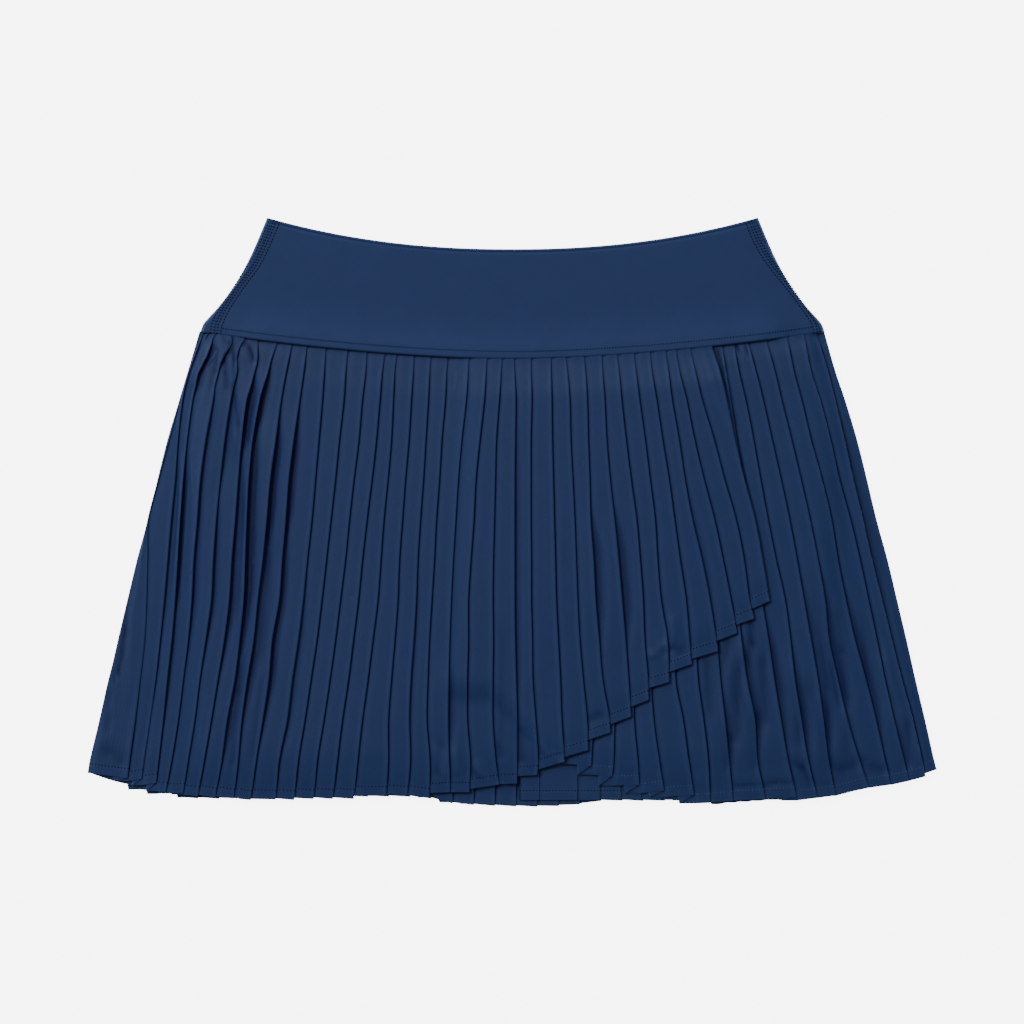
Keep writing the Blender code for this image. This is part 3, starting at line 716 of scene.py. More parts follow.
def crease_rise(creases, x, y):
    """Height added by the soft creases near a place."""
    column = x / PIXEL + PHOTO_MIDDLE_X
    row = PHOTO_MIDDLE_Y - y / PIXEL
    total = 0.0
    for crease in creases:
        reach = CREASE_REACH * crease.width
        if row < min(crease.start_y, crease.end_y) - reach:
            continue
        if row > max(crease.start_y, crease.end_y) + reach:
            continue
        if column < min(crease.start_x, crease.end_x) - reach:
            continue
        if column > max(crease.start_x, crease.end_x) + reach:
            continue
        along_x = crease.end_x - crease.start_x
        along_y = crease.end_y - crease.start_y
        ahead = (column - crease.start_x) * along_x + (row - crease.start_y) * along_y
        share = min(1.0, max(0.0, ahead / (along_x ** 2 + along_y ** 2)))
        away_x = column - crease.start_x - share * along_x
        away_y = row - crease.start_y - share * along_y
        away = math.hypot(away_x, away_y) / crease.width
        total += crease.rise * math.exp(-away * away)
    return total


def hem_rise(from_hem):
    """The turned-up cloth stands a little proud, down to the hem."""
    return HEM_RISE * smoothstep(HEM_DEPTH + HEM_TURN, HEM_DEPTH - HEM_TURN, from_hem)


def even_gather(x):
    """Distance below the seam where a panel's pleats stand fully."""
    return RELIEF_DEPTH


def over_gather(x):
    """The same on the over panel, whose pleats open sooner at its left end."""
    return mix(FRONT_RELIEF_DEPTH, RELIEF_DEPTH, smoothstep(*OVER_ENDS, x))


def under_gather(x):
    """The same on the under panel, whose pleats open sooner at its right end."""
    return mix(RELIEF_DEPTH, FRONT_RELIEF_DEPTH, smoothstep(*UNDER_ENDS, x))


def lying_free(x, y):
    """The pleats aren't pressed flatter by anything on them."""
    return 1.0


class Panel:
    """Knife-pleated cloth: how it lies at any share across a face and down its length."""

    def __init__(self, lines, base, openings=(), creases=(), seed=1, rows=PANEL_ROWS,
                 low_end=False, gather=even_gather, flat_spot=lying_free, sag=0.0,
                 laps_show=True):
        self.lines = lines
        self.base = base
        self.openings = openings
        self.creases = creases
        self.rows = rows
        self.low_end = low_end
        self.gather = gather
        self.flat_spot = flat_spot
        self.sag = sag
        self.laps_show = laps_show
        chance = random.Random(seed)
        self.lifts = [chance.uniform(-LIFT_SPREAD, LIFT_SPREAD) for line in lines]
        self.shift = 37.0 * seed

    def downs(self):
        """Shares of the length at which points are set, closer together near seam and hem."""
        turn = 2.0 * math.pi
        shares = [row / (self.rows - 1) for row in range(self.rows)]
        return [share - ROW_CROWDING * math.sin(turn * share) / turn for share in shares]

    def standing(self, x, y):
        """How fully the pleats stand at a place: 0 where they are sewn, then 1."""
        return smoothstep(0.0, self.gather(x), seam_y(x) - y)

    def is_low_end(self, face):
        """Whether a face is a last one that ends low, at a side seam or a free edge."""
        return self.low_end and face == len(self.lines) - 1

    def edges(self, face, down):
        """Left and right ends of a face: (x, y) each."""
        left, right = self.lines[face - 1], self.lines[face]
        left_y = mix(left.top_y, right.hem_y, down)
        right_y = mix(right.top_y, right.tip_y, down)
        return (left.x(left_y), left_y), (right.x(right_y), right_y)

    def from_hem(self, face, down):
        """Distance from the hem along the fold at the right of a face."""
        line = self.lines[face]
        return (1.0 - down) * (line.top_y - line.tip_y)

    def lap(self, face, y):
        """How far the cloth goes back under the fold at the right of a face."""
        return min(LAP, LAP_SHARE * (self.lines[face].x(y) - self.lines[face - 1].x(y)))

    def opening(self, face, y):
        """The wider shadow left of a face: its width, the lift of the fold over it, and how much
        of the width is in full shade."""
        widest = (0.0, 0.0)
        lift = 0.0
        for opening in self.openings:
            if opening.fold != self.lines[face - 1].name:
                continue
            top, low = up_from(opening.top_y), up_from(opening.low_y)
            share = smoothstep(top, mix(top, low, OPENING_GROWN), y)
            share *= smoothstep(low, mix(top, low, OPENING_FADES), y)
            firm = max(0.0, min(1.0, opening.lift / FIRM_LIFT))
            widest = max(widest, (opening.width * PIXEL * share, firm))
            lift += opening.lift * share
        if face == 2:
            narrow = self.lines[1].x(y) - self.lines[0].x(y)
            lift += LOWEST_LIFT * smoothstep(NARROW[1], NARROW[0], narrow)
        return widest[0], max(LOWEST_LIFT, lift), widest[1]

    def top(self, face, x, y):
        """Height of the cloth's middle at the right-hand fold of a face."""
        stand = self.standing(x, y)
        if self.is_low_end(face):
            return mix(FOLD_TOP[0], EDGE_HEIGHT, stand)
        height = mix(*FOLD_TOP, stand) + self.lifts[face] * stand
        if face + 1 < len(self.lines):
            height += self.opening(face + 1, y)[1]
        return height

    def bumps(self, x, y):
        """Soft creases, and the slight unevenness that all of the cloth has."""
        broad = noise.noise(Vector((x / WAVE_WIDTH + self.shift, y / WAVE_LENGTH, 0.5)))
        creases = crease_rise(self.creases, x, y) * smoothstep(*CREASE_START, seam_y(x) - y)
        return WAVE_HEIGHT * broad * self.standing(x, y) + creases

    def press(self, face, down, x, y):
        """How flat the pleats are pressed at a place: 1 where they stand fully."""
        at_hem = smoothstep(0.0, HEM_PRESS_DEPTH, self.from_hem(face, down))
        return max(FLATTEST, mix(HEM_PRESS, 1.0, at_hem) * self.flat_spot(x, y))

    def face_point(self, face, share, down):
        """A point of a face, by its share across and down."""
        (left_x, left_y), (right_x, right_y) = self.edges(face, down)
        width = right_x - left_x
        x = mix(left_x, right_x - FOLD_ROUND, share)
        y = mix(left_y, right_y, share)
        if face == 1:
            y -= self.sag * down * 4.0 * share * (1.0 - share)
        stand = self.standing(x, y)
        low = mix(*FACE_SHOWS, stand)
        high = self.top(face, right_x, right_y)
        wait = min(self.opening(face, y)[0], OPENING_SHARE * width)
        knee = min(KNEE, KNEE_WIDEST * width)
        climb = smoothstep(wait - KNEE_START * knee, wait + knee, share * width)
        if self.is_low_end(face):
            crown = low + END_CROWN * stand * climb
            height = mix(crown, high, smoothstep(END_BEND, 1.0, share))
            bend = END_CREASES
        else:
            if face == 1:
                low = mix(low, EDGE_HEIGHT, stand)
            pressed_rise_and_painted_light = PRESSED_RISE * stand
            lip = smoothstep(width - PRESSED_EDGE, width, share * width)
            slope = KNEE_SHARE * climb + (1.0 - KNEE_SHARE) * share
            height = mix(low, high - pressed_rise_and_painted_light, slope) + pressed_rise_and_painted_light * lip
            bend = mix(KNEE_CREASES, 1.0, climb)
        press = self.press(face, down, x, y)
        height = height * press + bend * self.bumps(x, y)
        low *= press
        if (1.0 - share) * width < LAP_REACH * self.lap(face, right_y) + LAP_MARGIN:
            low += 2.0 * CLOTH
        height = max(height, low - SINKS)
        return x, y, self.base(x, y) + height + hem_rise(self.from_hem(face, down))

    def face_painted_light(self, face, share, down, x, y):
        """Painted light of a face: 1 for a painted highlight on a pressed edge, -1 for painted
        shade down in a fold.
        """
        tint = smoothstep(PAINTED_HIGHLIGHT_SHARE, 1.0, share)
        crease = CREASE_PAINTED_LIGHT * crease_rise(self.creases, x, y)
        tint += max(CREASE_PAINTED_LIGHT_RANGE[0], min(CREASE_PAINTED_LIGHT_RANGE[1], crease))
        climbed = standing(seam_y(x) - y)
        tint -= CLIMB_SHADE * 4.0 * climbed * (1.0 - climbed)
        if face == 1:
            return tint
        (left_x, left_y), (right_x, right_y) = self.edges(face, down)
        width = right_x - left_x
        wait, lift, firm = self.opening(face, left_y)
        wait = min(wait, OPENING_SHARE * width)
        deep = mix(FAINT_SHADE, 1.0, self.standing(x, y))
        deep *= smoothstep(*HEM_SHADE, self.from_hem(face, down))
        soft = mix(1.0, mix(SOFT_SHADE, 1.0, firm), min(1.0, wait))
        soft *= 1.0 + SUNK_SHADE * min(0.0, lift) / -LOWEST_LIFT
        shade = 1.0 - smoothstep(firm * wait, wait + FOLD_SHADE, share * width)
        return tint - deep * soft * shade

    def face_start(self, face, down):
        """Points before a face shows: under the last fold, or round the panel's first edge."""
        x, y = self.edges(face, down)[0]
        stand = self.standing(x, y)
        if face > 1:
            height = mix(*FACE_START, stand) * self.press(face, down, x, y)
            x -= self.lap(face - 1, y)
            return [(x, y, self.base(x, y) + max(height, CLOTH / 2.0), 0.0)]
        points = []
        for point in FIRST_EDGE:
            height = self.base(x + point.across, y) + mix(*FIRST_EDGE_HEIGHT, stand) - point.drop
            points.append((x + point.across, y, max(height, CLOTH / 2.0), 0.0))
        return points

    def fold_back(self, face, down, x, z):
        """Points round a fold and back under it, to where the next face starts."""
        (left_x, left_y), (right_x, right_y) = self.edges(face, down)
        stand = self.standing(right_x, right_y)
        press = self.press(face, down, right_x, right_y)
        base = self.base(right_x, right_y)
        below = base + mix(*FACE_SHOWS, stand) * press + CLOTH
        under = z - (FOLD_TOP[1] - FOLD_UNDER[1]) * mix(SEWN_DROP, 1.0, stand) * press
        under = max(under, min(below, z - CLOTH))
        radius = (z - under) / 2.0
        points = []
        for step, tint in enumerate(FOLD_PAINTED_LIGHT):
            angle = math.pi * (0.5 - step / (len(FOLD_PAINTED_LIGHT) - 1))
            points.append((x + FOLD_ROUND * math.cos(angle), right_y,
                           under + radius + radius * math.sin(angle), tint))
        back = self.lap(face, right_y)
        turn = base + mix(*FOLD_TURN, stand) * press
        next_y = right_y
        next_start = turn
        if face + 1 < len(self.lines):
            next_y = mix(self.lines[face].top_y, self.lines[face + 1].hem_y, down)
            next_start = base + max(mix(*FACE_START, stand) * press, CLOTH / 2.0)
        if not self.laps_show:
            next_y = max(right_y, mix(right_y, left_y, back / (right_x - left_x)))
        for share in UNDER_SHARES:
            inward = LAP_REACH * back * share
            over = self.face_point(face, 1.0 - inward / (right_x - left_x), down)[2]
            height = min(mix(under, turn, share), over - CLOTH - LAYER_GAP)
            points.append((x - inward, mix(right_y, next_y, share), height, 0.0))
        points.append((x - LAP_REACH * back, next_y, turn, 0.0))
        if face + 1 < len(self.lines):
            points.append((x - back - TURN_REACH, next_y, mix(turn, next_start, 0.5), 0.0))
        return points

    def section(self, face, down):
        """Points across one pleat: (x, y, z, tint), where tint is the painted light."""
        points = self.face_start(face, down)
        for share in FACE_SHARES:
            x, y, z = self.face_point(face, share, down)
            points.append((x, y, z, self.face_painted_light(face, share, down, x, y)))
        x, y, z = self.face_point(face, 1.0, down)
        if not self.is_low_end(face):
            return points + self.fold_back(face, down, x, z)
        points.append((x, y, z, END_PAINTED_HIGHLIGHT))
        for point in LAST_EDGE:
            points.append((x + point.across, y, max(z - point.drop, CLOTH / 2.0), 0.0))
        return points


def lay(x, y, z):
    """A point in metres. A place read in the photograph lies a little inwards when it is raised."""
    inward = 1.0 - z / CAMERA_HEIGHT
    return (x * inward * MM, y * inward * MM, z * MM)


def new_piece(name, mesh, material):
    mesh.materials.append(material)
    piece = bpy.data.objects.new(name, mesh)
    bpy.context.scene.collection.objects.link(piece)
    return piece


def finished(piece):
    """The piece with its modifiers made part of its mesh."""
    shaped = piece.evaluated_get(bpy.context.evaluated_depsgraph_get())
    mesh = bpy.data.meshes.new_from_object(shaped)
    piece.modifiers.clear()
    old = piece.data
    piece.data = mesh
    bpy.data.meshes.remove(old)
    mesh.name = piece.name
    return piece


def sheet_mesh(name, columns):
    """Mesh of a grid of points, columns[c][r] = (x, y, z, tint), with UVs along the cloth; tint,
    the painted light, is kept as an attribute.
    """
    rows = len(columns[0])
    points = [lay(*point[:3]) for column in columns for point in column]
    faces = []
    for c in range(len(columns) - 1):
        for r in range(rows - 1):
            first = c * rows + r
            faces.append((first, first + 1, first + rows + 1, first + rows))
    mesh = bpy.data.meshes.new(name)
    mesh.from_pydata(points, [], faces)
    # the painted highlight and painted shade of each point, for the cloth's material
    painted_light_layer = mesh.attributes.new("pressed_rise_and_painted_light", "FLOAT", "POINT")
    painted_light_layer.data.foreach_set("value", [point[3] for column in columns for point in column])
    middle = rows // 2
    along = [0.0]
    for c in range(1, len(columns)):
        last, this = columns[c - 1][middle], columns[c][middle]
        along.append(along[-1] + math.hypot(this[0] - last[0], this[2] - last[2]))
    places = []
    for c, column in enumerate(columns):
        places += [(along[c] * MM, point[1] * MM) for point in column]
    layer = mesh.uv_layers.new(name="cloth")
    for loop in mesh.loops:
        layer.data[loop.index].uv = places[loop.vertex_index]
    return mesh


def thin_shell(name, mesh, material, thickness):
    """A closed shell of cloth with the mesh as its middle."""
    piece = new_piece(name, mesh, material)
    wall = piece.modifiers.new("cloth", "SOLIDIFY")
    wall.thickness = thickness * MM
    wall.offset = 0.0
    wall.use_even_offset = False
    finished(piece)
    piece.data.shade_smooth()
    piece.data.set_sharp_from_angle(angle=math.radians(CLOTH_SHARP))
    return piece


def pleated_sheet(name, panel, material):
    """A whole panel as one continuous sheet, folded back under at every pleat."""
    downs = panel.downs()
    columns = []
    for face in range(1, len(panel.lines)):
        strip = [panel.section(face, down) for down in downs]
        columns += [list(column) for column in zip(*strip)]
    mesh = sheet_mesh(name, columns)
    return thin_shell(name, mesh, material, CLOTH)


def panel_cut(panel):
    """Width, length and area that a panel is cut to, laid out flat."""
    width = 0.0
    area = 0.0
    longest = 0.0
    for face in range(1, len(panel.lines)):
        (left_x, left_y), (right_x, right_y) = panel.edges(face, MEASURED_DOWN)
        spread = right_x - left_x + 2.0 * panel.lap(face, right_y)
        (hem_left, left_low), (hem_right, right_low) = panel.edges(face, 1.0)
        length = seam_y(right_x) - mix(left_low, right_low, 0.5)
        width += spread
        area += spread * length
        longest = max(longest, length)
    return Cut(width * MM, longest * MM, area * MM * MM)


def band_y(x, row):
    """y of the band's point at x on one of its rows."""
    share = min(1.0, abs(x) / row.fold)
    lower = BAND_LOWER_Y + BAND_LOWER_RISE * share ** BAND_LOWER_POWER
    upper = BAND_TOP_Y + BAND_TOP_RISE * share ** BAND_TOP_POWER
    return mix(lower, upper, row.up)


def band_inside(x):
    """1 over the shorts and skirt that are sewn into the band, 0 at its sides."""
    return 1.0 - smoothstep(*BAND_RAMP, abs(x))


def seam_allowance(row):
    """Extra thickness where the band's lower edge is turned in."""
    return BAND_SEAM_ALLOWANCE * smoothstep(BAND_ALLOWANCE_ROWS, 0.0, row.up)


def front_underside(x, row):
    climb = BAND_SEAM_LIFT * smoothstep(BAND_CLIMB_ROWS, 0.0, row.up)
    return BAND_THICKNESS + SEAM_GAP + climb * band_inside(x)


def front_top(x, row):
    return front_underside(x, row) + BAND_THICKNESS + seam_allowance(row)


def back_top(x, row):
    return BAND_THICKNESS + seam_allowance(row) * band_inside(x)


def band_row(up):
    """The band's side folds and front seams at any share of its height."""
    reaches = [[(-row.up, row[field]) for row in BAND_ROWS] for field in (1, 2, 3)]
    return BandRow(up, *[through(stations, -up) for stations in reaches])


def seam_reach(row, side):
    """How far a front seam is from the middle on a row; side is -1 left, 1 right."""
    return row.right_seam if side > 0 else row.left_seam


# Shares of the band's height at which it has points: close together at its rounded edges, at the
# stitching above its lower edge and at the line below its top edge
BAND_UPS = (0.0, 0.004, 0.009, 0.020, 0.040, 0.056, 0.065, 0.074, 0.10, 0.15, 0.21, 0.28, 0.36,
            0.44, 0.52, 0.60, 0.68, 0.76, 0.84, 0.90, 0.94, 0.962, 0.972, 0.980, 0.988, 0.995, 1.0)
BAND_STITCH_UP = 0.069
BAND_STITCH_DROP = 0.012     # the stitching runs closer to the edge at the sides
BAND_STITCH_DIP = 0.04       # how deep the cloth dips along it, and how far up and down
BAND_STITCH_SPREAD = 0.014
BAND_LINE_UP = 0.972
BAND_LINE_DIP = 0.55
BAND_LINE_SPREAD = 0.007


def band_edge(up):
    """How far the band's faces draw in at its rounded lower and top edges."""
    low = BAND_LOW_ROUND * (1.0 - smoothstep(0.0, BAND_LOW_EDGE, up))
    high = smoothstep(BAND_TOP_EDGE, 1.0, up)
    return BAND_EDGE_ROUND * max(low, high)


def band_groove(up):
    """Dips along the stitching and just below the top edge."""
    stitching = BAND_STITCH_DIP * math.exp(-((up - BAND_STITCH_UP) / BAND_STITCH_SPREAD) ** 2)
    line = BAND_LINE_DIP * math.exp(-((up - BAND_LINE_UP) / BAND_LINE_SPREAD) ** 2)
    return stitching + line


def closed_wall(name, outer, inner, material):
    """Closed wall between two grids of points, columns[c][r] = (x, y, z)."""
    count, rows = len(outer), len(outer[0])
    points = [lay(*point) for grid in (outer, inner) for column in grid for point in column]
    under = count * rows
    faces = []
    for c in range(count - 1):
        for r in range(rows - 1):
            ring = (c * rows + r, c * rows + r + 1, (c + 1) * rows + r + 1, (c + 1) * rows + r)
            faces.append(ring)
            faces.append(tuple(under + index for index in reversed(ring)))
    rim = [c * rows for c in range(count)]
    rim += [(count - 1) * rows + r for r in range(1, rows)]
    rim += [c * rows + rows - 1 for c in range(count - 2, -1, -1)]
    rim += [r for r in range(rows - 2, 0, -1)]
    for start, end in zip(rim, rim[1:] + rim[:1]):
        faces.append((start, end, under + end, under + start))
    mesh = bpy.data.meshes.new(name)
    mesh.from_pydata(points, [], faces)
    build = bmesh.new()
    build.from_mesh(mesh)
    bmesh.ops.recalc_face_normals(build, faces=build.faces)
    build.to_mesh(mesh)
    build.free()
    layer = mesh.uv_layers.new(name="cloth")
    for loop in mesh.loops:
        layer.data[loop.index].uv = mesh.vertices[loop.vertex_index].co.xy
    piece = new_piece(name, mesh, material)
    mesh.shade_smooth()
    mesh.set_sharp_from_angle(angle=math.radians(BAND_SHARP))
    return piece


def waistband_front(material):
    outer, inner = [], []
    rows = [band_row(up) for up in BAND_UPS]
    for column in range(BAND_COLUMNS + 1):
        share = 2.0 * column / BAND_COLUMNS - 1.0
        outer.append([])
        inner.append([])
        for row in rows:
            x = share * (seam_reach(row, share) - BAND_JOIN / 2.0)
            y = band_y(x, row)
            place = Vector((x / BAND_WAVE_WIDTH, y / BAND_WAVE_LENGTH, 2.0))
            wave = BAND_WAVE_HEIGHT * noise.noise(place)
            drawn = band_edge(row.up)
            outer[-1].append((x, y, front_top(x, row) + wave - band_groove(row.up) - drawn))
            inner[-1].append((x, y, front_underside(x, row) + BAND_INSIDE_DRAWS * drawn))
    return closed_wall("front_band", outer, inner, material)


def waistband_back(material):
    """The back band, its sides folded round to the front as far as the front seams."""
    outer, inner = [], []
    rows = [band_row(up) for up in BAND_UPS]

    def add(side, out, into):
        """One column; out and into give (reach, height, which way its edges draw in) on a row."""
        outer.append([])
        inner.append([])
        for row in rows:
            drawn = band_edge(row.up)
            for grid, place, way in ((outer, out, -1.0), (inner, into, BACK_INSIDE_DRAWS)):
                reach, height, towards = place(row)
                grid[-1].append((side * reach, band_y(reach, row), height + way * towards * drawn))

    def front(side, share):
        """A column between the front seam and the side fold."""
        def out(row):
            reach = mix(seam_reach(row, side) + BAND_JOIN / 2.0, row.fold - SIDE_ROUND, share)
            return reach, front_top(reach, row) - band_groove(row.up), 1.0

        def into(row):
            reach = mix(seam_reach(row, side) + BAND_JOIN / 2.0, row.fold - SIDE_HOLLOW_IN, share)
            return reach, front_underside(reach, row), 1.0
        return side, out, into

    def bend(side, turn):
        """A column on the side fold, from its front at 0 to its back at 1."""
        angle = math.pi * (0.5 - turn)

        def out(row):
            half = front_top(row.fold, row) / 2.0
            reach = row.fold - SIDE_ROUND + SIDE_ROUND * math.cos(angle)
            return reach, half + half * math.sin(angle), math.sin(angle)

        def into(row):
            half = front_top(row.fold, row) / 2.0
            slim = max(half - SIDE_WALL, SIDE_THINNEST)
            reach = row.fold - SIDE_HOLLOW_IN + SIDE_HOLLOW_ROUND * math.cos(angle)
            return reach, half + slim * math.sin(angle), math.sin(angle)
        return side, out, into

    def flat_back(share):
        """A column of the flat back; share is -1 at the left side fold, 1 at the right one."""
        def out(row):
            return abs(share) * (row.fold - SIDE_FLAT), 0.0, -1.0

        def into(row):
            reach = abs(share) * (row.fold - SIDE_FLAT)
            return reach, back_top(reach, row), -1.0
        return -1.0 if share < 0 else 1.0, out, into

    def hook(side):
        """Columns from the front seam round the side fold to the underside."""
        columns = [front(side, share) for share in SIDE_SHARES]
        return columns + [bend(side, turn) for turn in SIDE_TURNS]

    for column in hook(-1.0):
        add(*column)
    for column in range(1, BAND_COLUMNS):
        add(*flat_back(2.0 * column / BAND_COLUMNS - 1.0))
    for column in reversed(hook(1.0)):
        add(*column)
    return closed_wall("back_band", outer, inner, material)


def shorts_piece(name, base, material):
    """A plain flat piece of the shorts, with two legs."""
    crotch = [row.y for row in SHORTS_ROWS].index(SHORTS_CROTCH_Y) + len(SHORTS_DEPTHS)
    columns = []
    for side in (-1.0, 1.0):
        shares = [step / SHORTS_LEG_COLUMNS for step in range(SHORTS_LEG_COLUMNS + 1)]
        for share in reversed(shares) if side < 0 else shares:
            column = []
            for depth in SHORTS_DEPTHS:
                x = side * mix(SHORTS_ROWS[0].inner, SHORTS_SEAM_WIDTH, share)
                column.append((x, seam_y(x) - depth))
            column += [(side * mix(row.inner, row.outer, share), row.y) for row in SHORTS_ROWS]
            columns.append([(x, y, base(x, y) + SOLID_CLOTH / 2.0, 0.0) for x, y in column])
    mesh = sheet_mesh(name, columns)
    build = bmesh.new()
    build.from_mesh(mesh)
    build.faces.ensure_lookup_table()
    rows = len(columns[0])
    gap = [face for face in build.faces
           if face.index // (rows - 1) == SHORTS_LEG_COLUMNS and face.index % (rows - 1) >= crotch]
    bmesh.ops.delete(build, geom=gap, context="FACES")
    build.to_mesh(mesh)
    build.free()
    return thin_shell(name, mesh, material, SHORTS_CLOTH)


def stitch_tree():
    """Threads laid along the edges of a mesh, one every Spacing."""
    tree = bpy.data.node_groups.new("stitch_row", "GeometryNodeTree")
    face = tree.interface
    face.new_socket("Geometry", in_out="INPUT", socket_type="NodeSocketGeometry")
    for name in ("Spacing", "Length", "Width", "Slant"):
        face.new_socket(name, in_out="INPUT", socket_type="NodeSocketFloat")
    face.new_socket("Thread", in_out="INPUT", socket_type="NodeSocketMaterial")
    face.new_socket("Geometry", in_out="OUTPUT", socket_type="NodeSocketGeometry")
    add = tree.nodes.new
    link = tree.links.new
    source = add("NodeGroupInput")
    path = add("GeometryNodeMeshToCurve")
    points = add("GeometryNodeCurveToPoints")
    points.mode = "LENGTH"
    thread = add("GeometryNodeMeshUVSphere")
    thread.inputs["Segments"].default_value = 6
    thread.inputs["Rings"].default_value = 4
    thread.inputs["Radius"].default_value = 0.5
    size = add("ShaderNodeCombineXYZ")
    shape = add("GeometryNodeTransform")
    turn = add("FunctionNodeAlignRotationToVector")
    turn.axis = "X"
    place = add("GeometryNodeInstanceOnPoints")
    lean = add("ShaderNodeCombineXYZ")
    slant = add("GeometryNodeRotateInstances")
    real = add("GeometryNodeRealizeInstances")
    paint = add("GeometryNodeSetMaterial")
    result = add("NodeGroupOutput")
    link(source.outputs["Geometry"], path.inputs["Mesh"])
    link(path.outputs["Curve"], points.inputs["Curve"])
    link(source.outputs["Spacing"], points.inputs["Length"])
    link(source.outputs["Length"], size.inputs["X"])
    link(source.outputs["Width"], size.inputs["Y"])
    link(source.outputs["Width"], size.inputs["Z"])
    link(thread.outputs["Mesh"], shape.inputs["Geometry"])
    link(size.outputs["Vector"], shape.inputs["Scale"])
    link(points.outputs["Points"], place.inputs["Points"])
    link(shape.outputs["Geometry"], place.inputs["Instance"])
    link(points.outputs["Tangent"], turn.inputs["Vector"])
    link(turn.outputs["Rotation"], place.inputs["Rotation"])
    link(source.outputs["Slant"], lean.inputs["Z"])
    link(place.outputs["Instances"], slant.inputs["Instances"])
    link(lean.outputs["Vector"], slant.inputs["Rotation"])
    link(slant.outputs["Instances"], real.inputs["Geometry"])
    link(real.outputs["Geometry"], paint.inputs["Geometry"])
    link(source.outputs["Thread"], paint.inputs["Material"])
    link(paint.outputs["Geometry"], result.inputs["Geometry"])
    return tree


def stitched(name, paths, tree, material, stitch):
    """A piece of thread stitches along each path of points."""
    points = []
    edges = []
    for path in paths:
        first = len(points)
        points += [lay(*point) for point in path]
        edges += [(first + step, first + step + 1) for step in range(len(path) - 1)]
    mesh = bpy.data.meshes.new(name)
    mesh.from_pydata(points, edges, [])
    piece = new_piece(name, mesh, material)
    rows = piece.modifiers.new("stitches", "NODES")
    rows.node_group = tree
    sockets = {item.name: item.identifier for item in tree.interface.items_tree
               if item.in_out == "INPUT"}
    rows[sockets["Spacing"]] = stitch.spacing * MM
    rows[sockets["Length"]] = stitch.length * MM
    rows[sockets["Width"]] = stitch.width * MM
    rows[sockets["Slant"]] = stitch.slant
    rows[sockets["Thread"]] = material
    finished(piece)
    piece.data.shade_smooth()
    return piece


def hem_paths(panel, faces):
    """The sewn line above the hem, on each of the faces that show."""
    paths = []
    for face in faces:
        right_x, right_y = panel.edges(face, 1.0)[1]
        down = 1.0 - HEM_DEPTH / (seam_y(right_x) - right_y)
        path = []
        for share in (*FACE_SHARES, 1.0):
            x, y, z = panel.face_point(face, share, down)
            path.append((x, y, z + CLOTH / 2.0 + HEM_THREAD_UP))
        paths.append(path)
    return paths


def band_stitch_path():
    """The stitching along the front band, above its lower edge."""
    path = []
    for step in range(BAND_STITCH_STEPS + 1):
        way = 2.0 * step / BAND_STITCH_STEPS - 1.0
        row = band_row(BAND_STITCH_UP - BAND_STITCH_DROP * way * way)
        x = way * (seam_reach(row, way) - BAND_STITCH_STOP)
        height = front_top(x, row) - band_groove(row.up) + BAND_THREAD_UP
        path.append((x, band_y(x, row), height))
    return path


def side_seam_path(side, outward):
    """A line beside the seam between front and back band, outward from it."""
    path = []
    for step in range(SEAM_STEPS + 1):
        row = band_row(mix(*SEAM_ENDS, step / SEAM_STEPS))
        reach = seam_reach(row, side) + outward
        if reach > row.fold - SEAM_TO_FOLD:
            continue
        height = front_top(reach, row) - band_groove(row.up) + SEAM_THREAD_UP
        path.append((side * reach, band_y(reach, row), height))
    return path


def nodes_of(material):
    material.use_nodes = True
    tree = material.node_tree
    return tree, tree.nodes["Principled BSDF"]


def calculation(tree, kind, first, second=None):
    """A Math node of a kind; first and second are sockets or numbers."""
    node = tree.nodes.new("ShaderNodeMath")
    node.operation = kind
    for socket, value in zip(node.inputs, (first, second)):
        if value is None:
            continue
        if isinstance(value, (int, float)):
            socket.default_value = value
        else:
            tree.links.new(value, socket)
    return node.outputs["Value"]


def knit_group():
    """Fine jersey: rows of small V-shaped loops, with a slow mottle in how it takes the dye."""
    tree = bpy.data.node_groups.new("jersey_knit", "ShaderNodeTree")
    face = tree.interface
    face.new_socket("Cloth", in_out="INPUT", socket_type="NodeSocketVector")
    face.new_socket("Wales", in_out="INPUT", socket_type="NodeSocketFloat")
    face.new_socket("Courses", in_out="INPUT", socket_type="NodeSocketFloat")
    face.new_socket("Loops", in_out="OUTPUT", socket_type="NodeSocketFloat")
    face.new_socket("Mottle", in_out="OUTPUT", socket_type="NodeSocketFloat")
    source = tree.nodes.new("NodeGroupInput")
    result = tree.nodes.new("NodeGroupOutput")
    split = tree.nodes.new("ShaderNodeSeparateXYZ")
    tree.links.new(source.outputs["Cloth"], split.inputs["Vector"])
    wale = calculation(tree, "MULTIPLY", split.outputs["X"], source.outputs["Wales"])
    course = calculation(tree, "MULTIPLY", split.outputs["Y"], source.outputs["Courses"])
    side = calculation(tree, "ABSOLUTE", calculation(
        tree, "SUBTRACT", calculation(tree, "FRACT", wale), 0.5))
    slope = calculation(tree, "ADD", course, calculation(tree, "MULTIPLY", side, 1.6))
    leg = calculation(tree, "SINE", calculation(tree, "MULTIPLY", slope, 2.0 * math.pi))
    rib = calculation(tree, "SINE", calculation(tree, "MULTIPLY", side, 2.0 * math.pi))
    loops = calculation(tree, "MULTIPLY", calculation(tree, "ADD", leg, 1.2), rib)
    tree.links.new(loops, result.inputs["Loops"])
    mottle = tree.nodes.new("ShaderNodeTexNoise")
    mottle.inputs["Scale"].default_value = 60.0
    mottle.inputs["Detail"].default_value = 5.0
    mottle.inputs["Roughness"].default_value = 0.6
    tree.links.new(source.outputs["Cloth"], mottle.inputs["Vector"])
    tree.links.new(mottle.outputs["Fac"], result.inputs["Mottle"])
    return tree


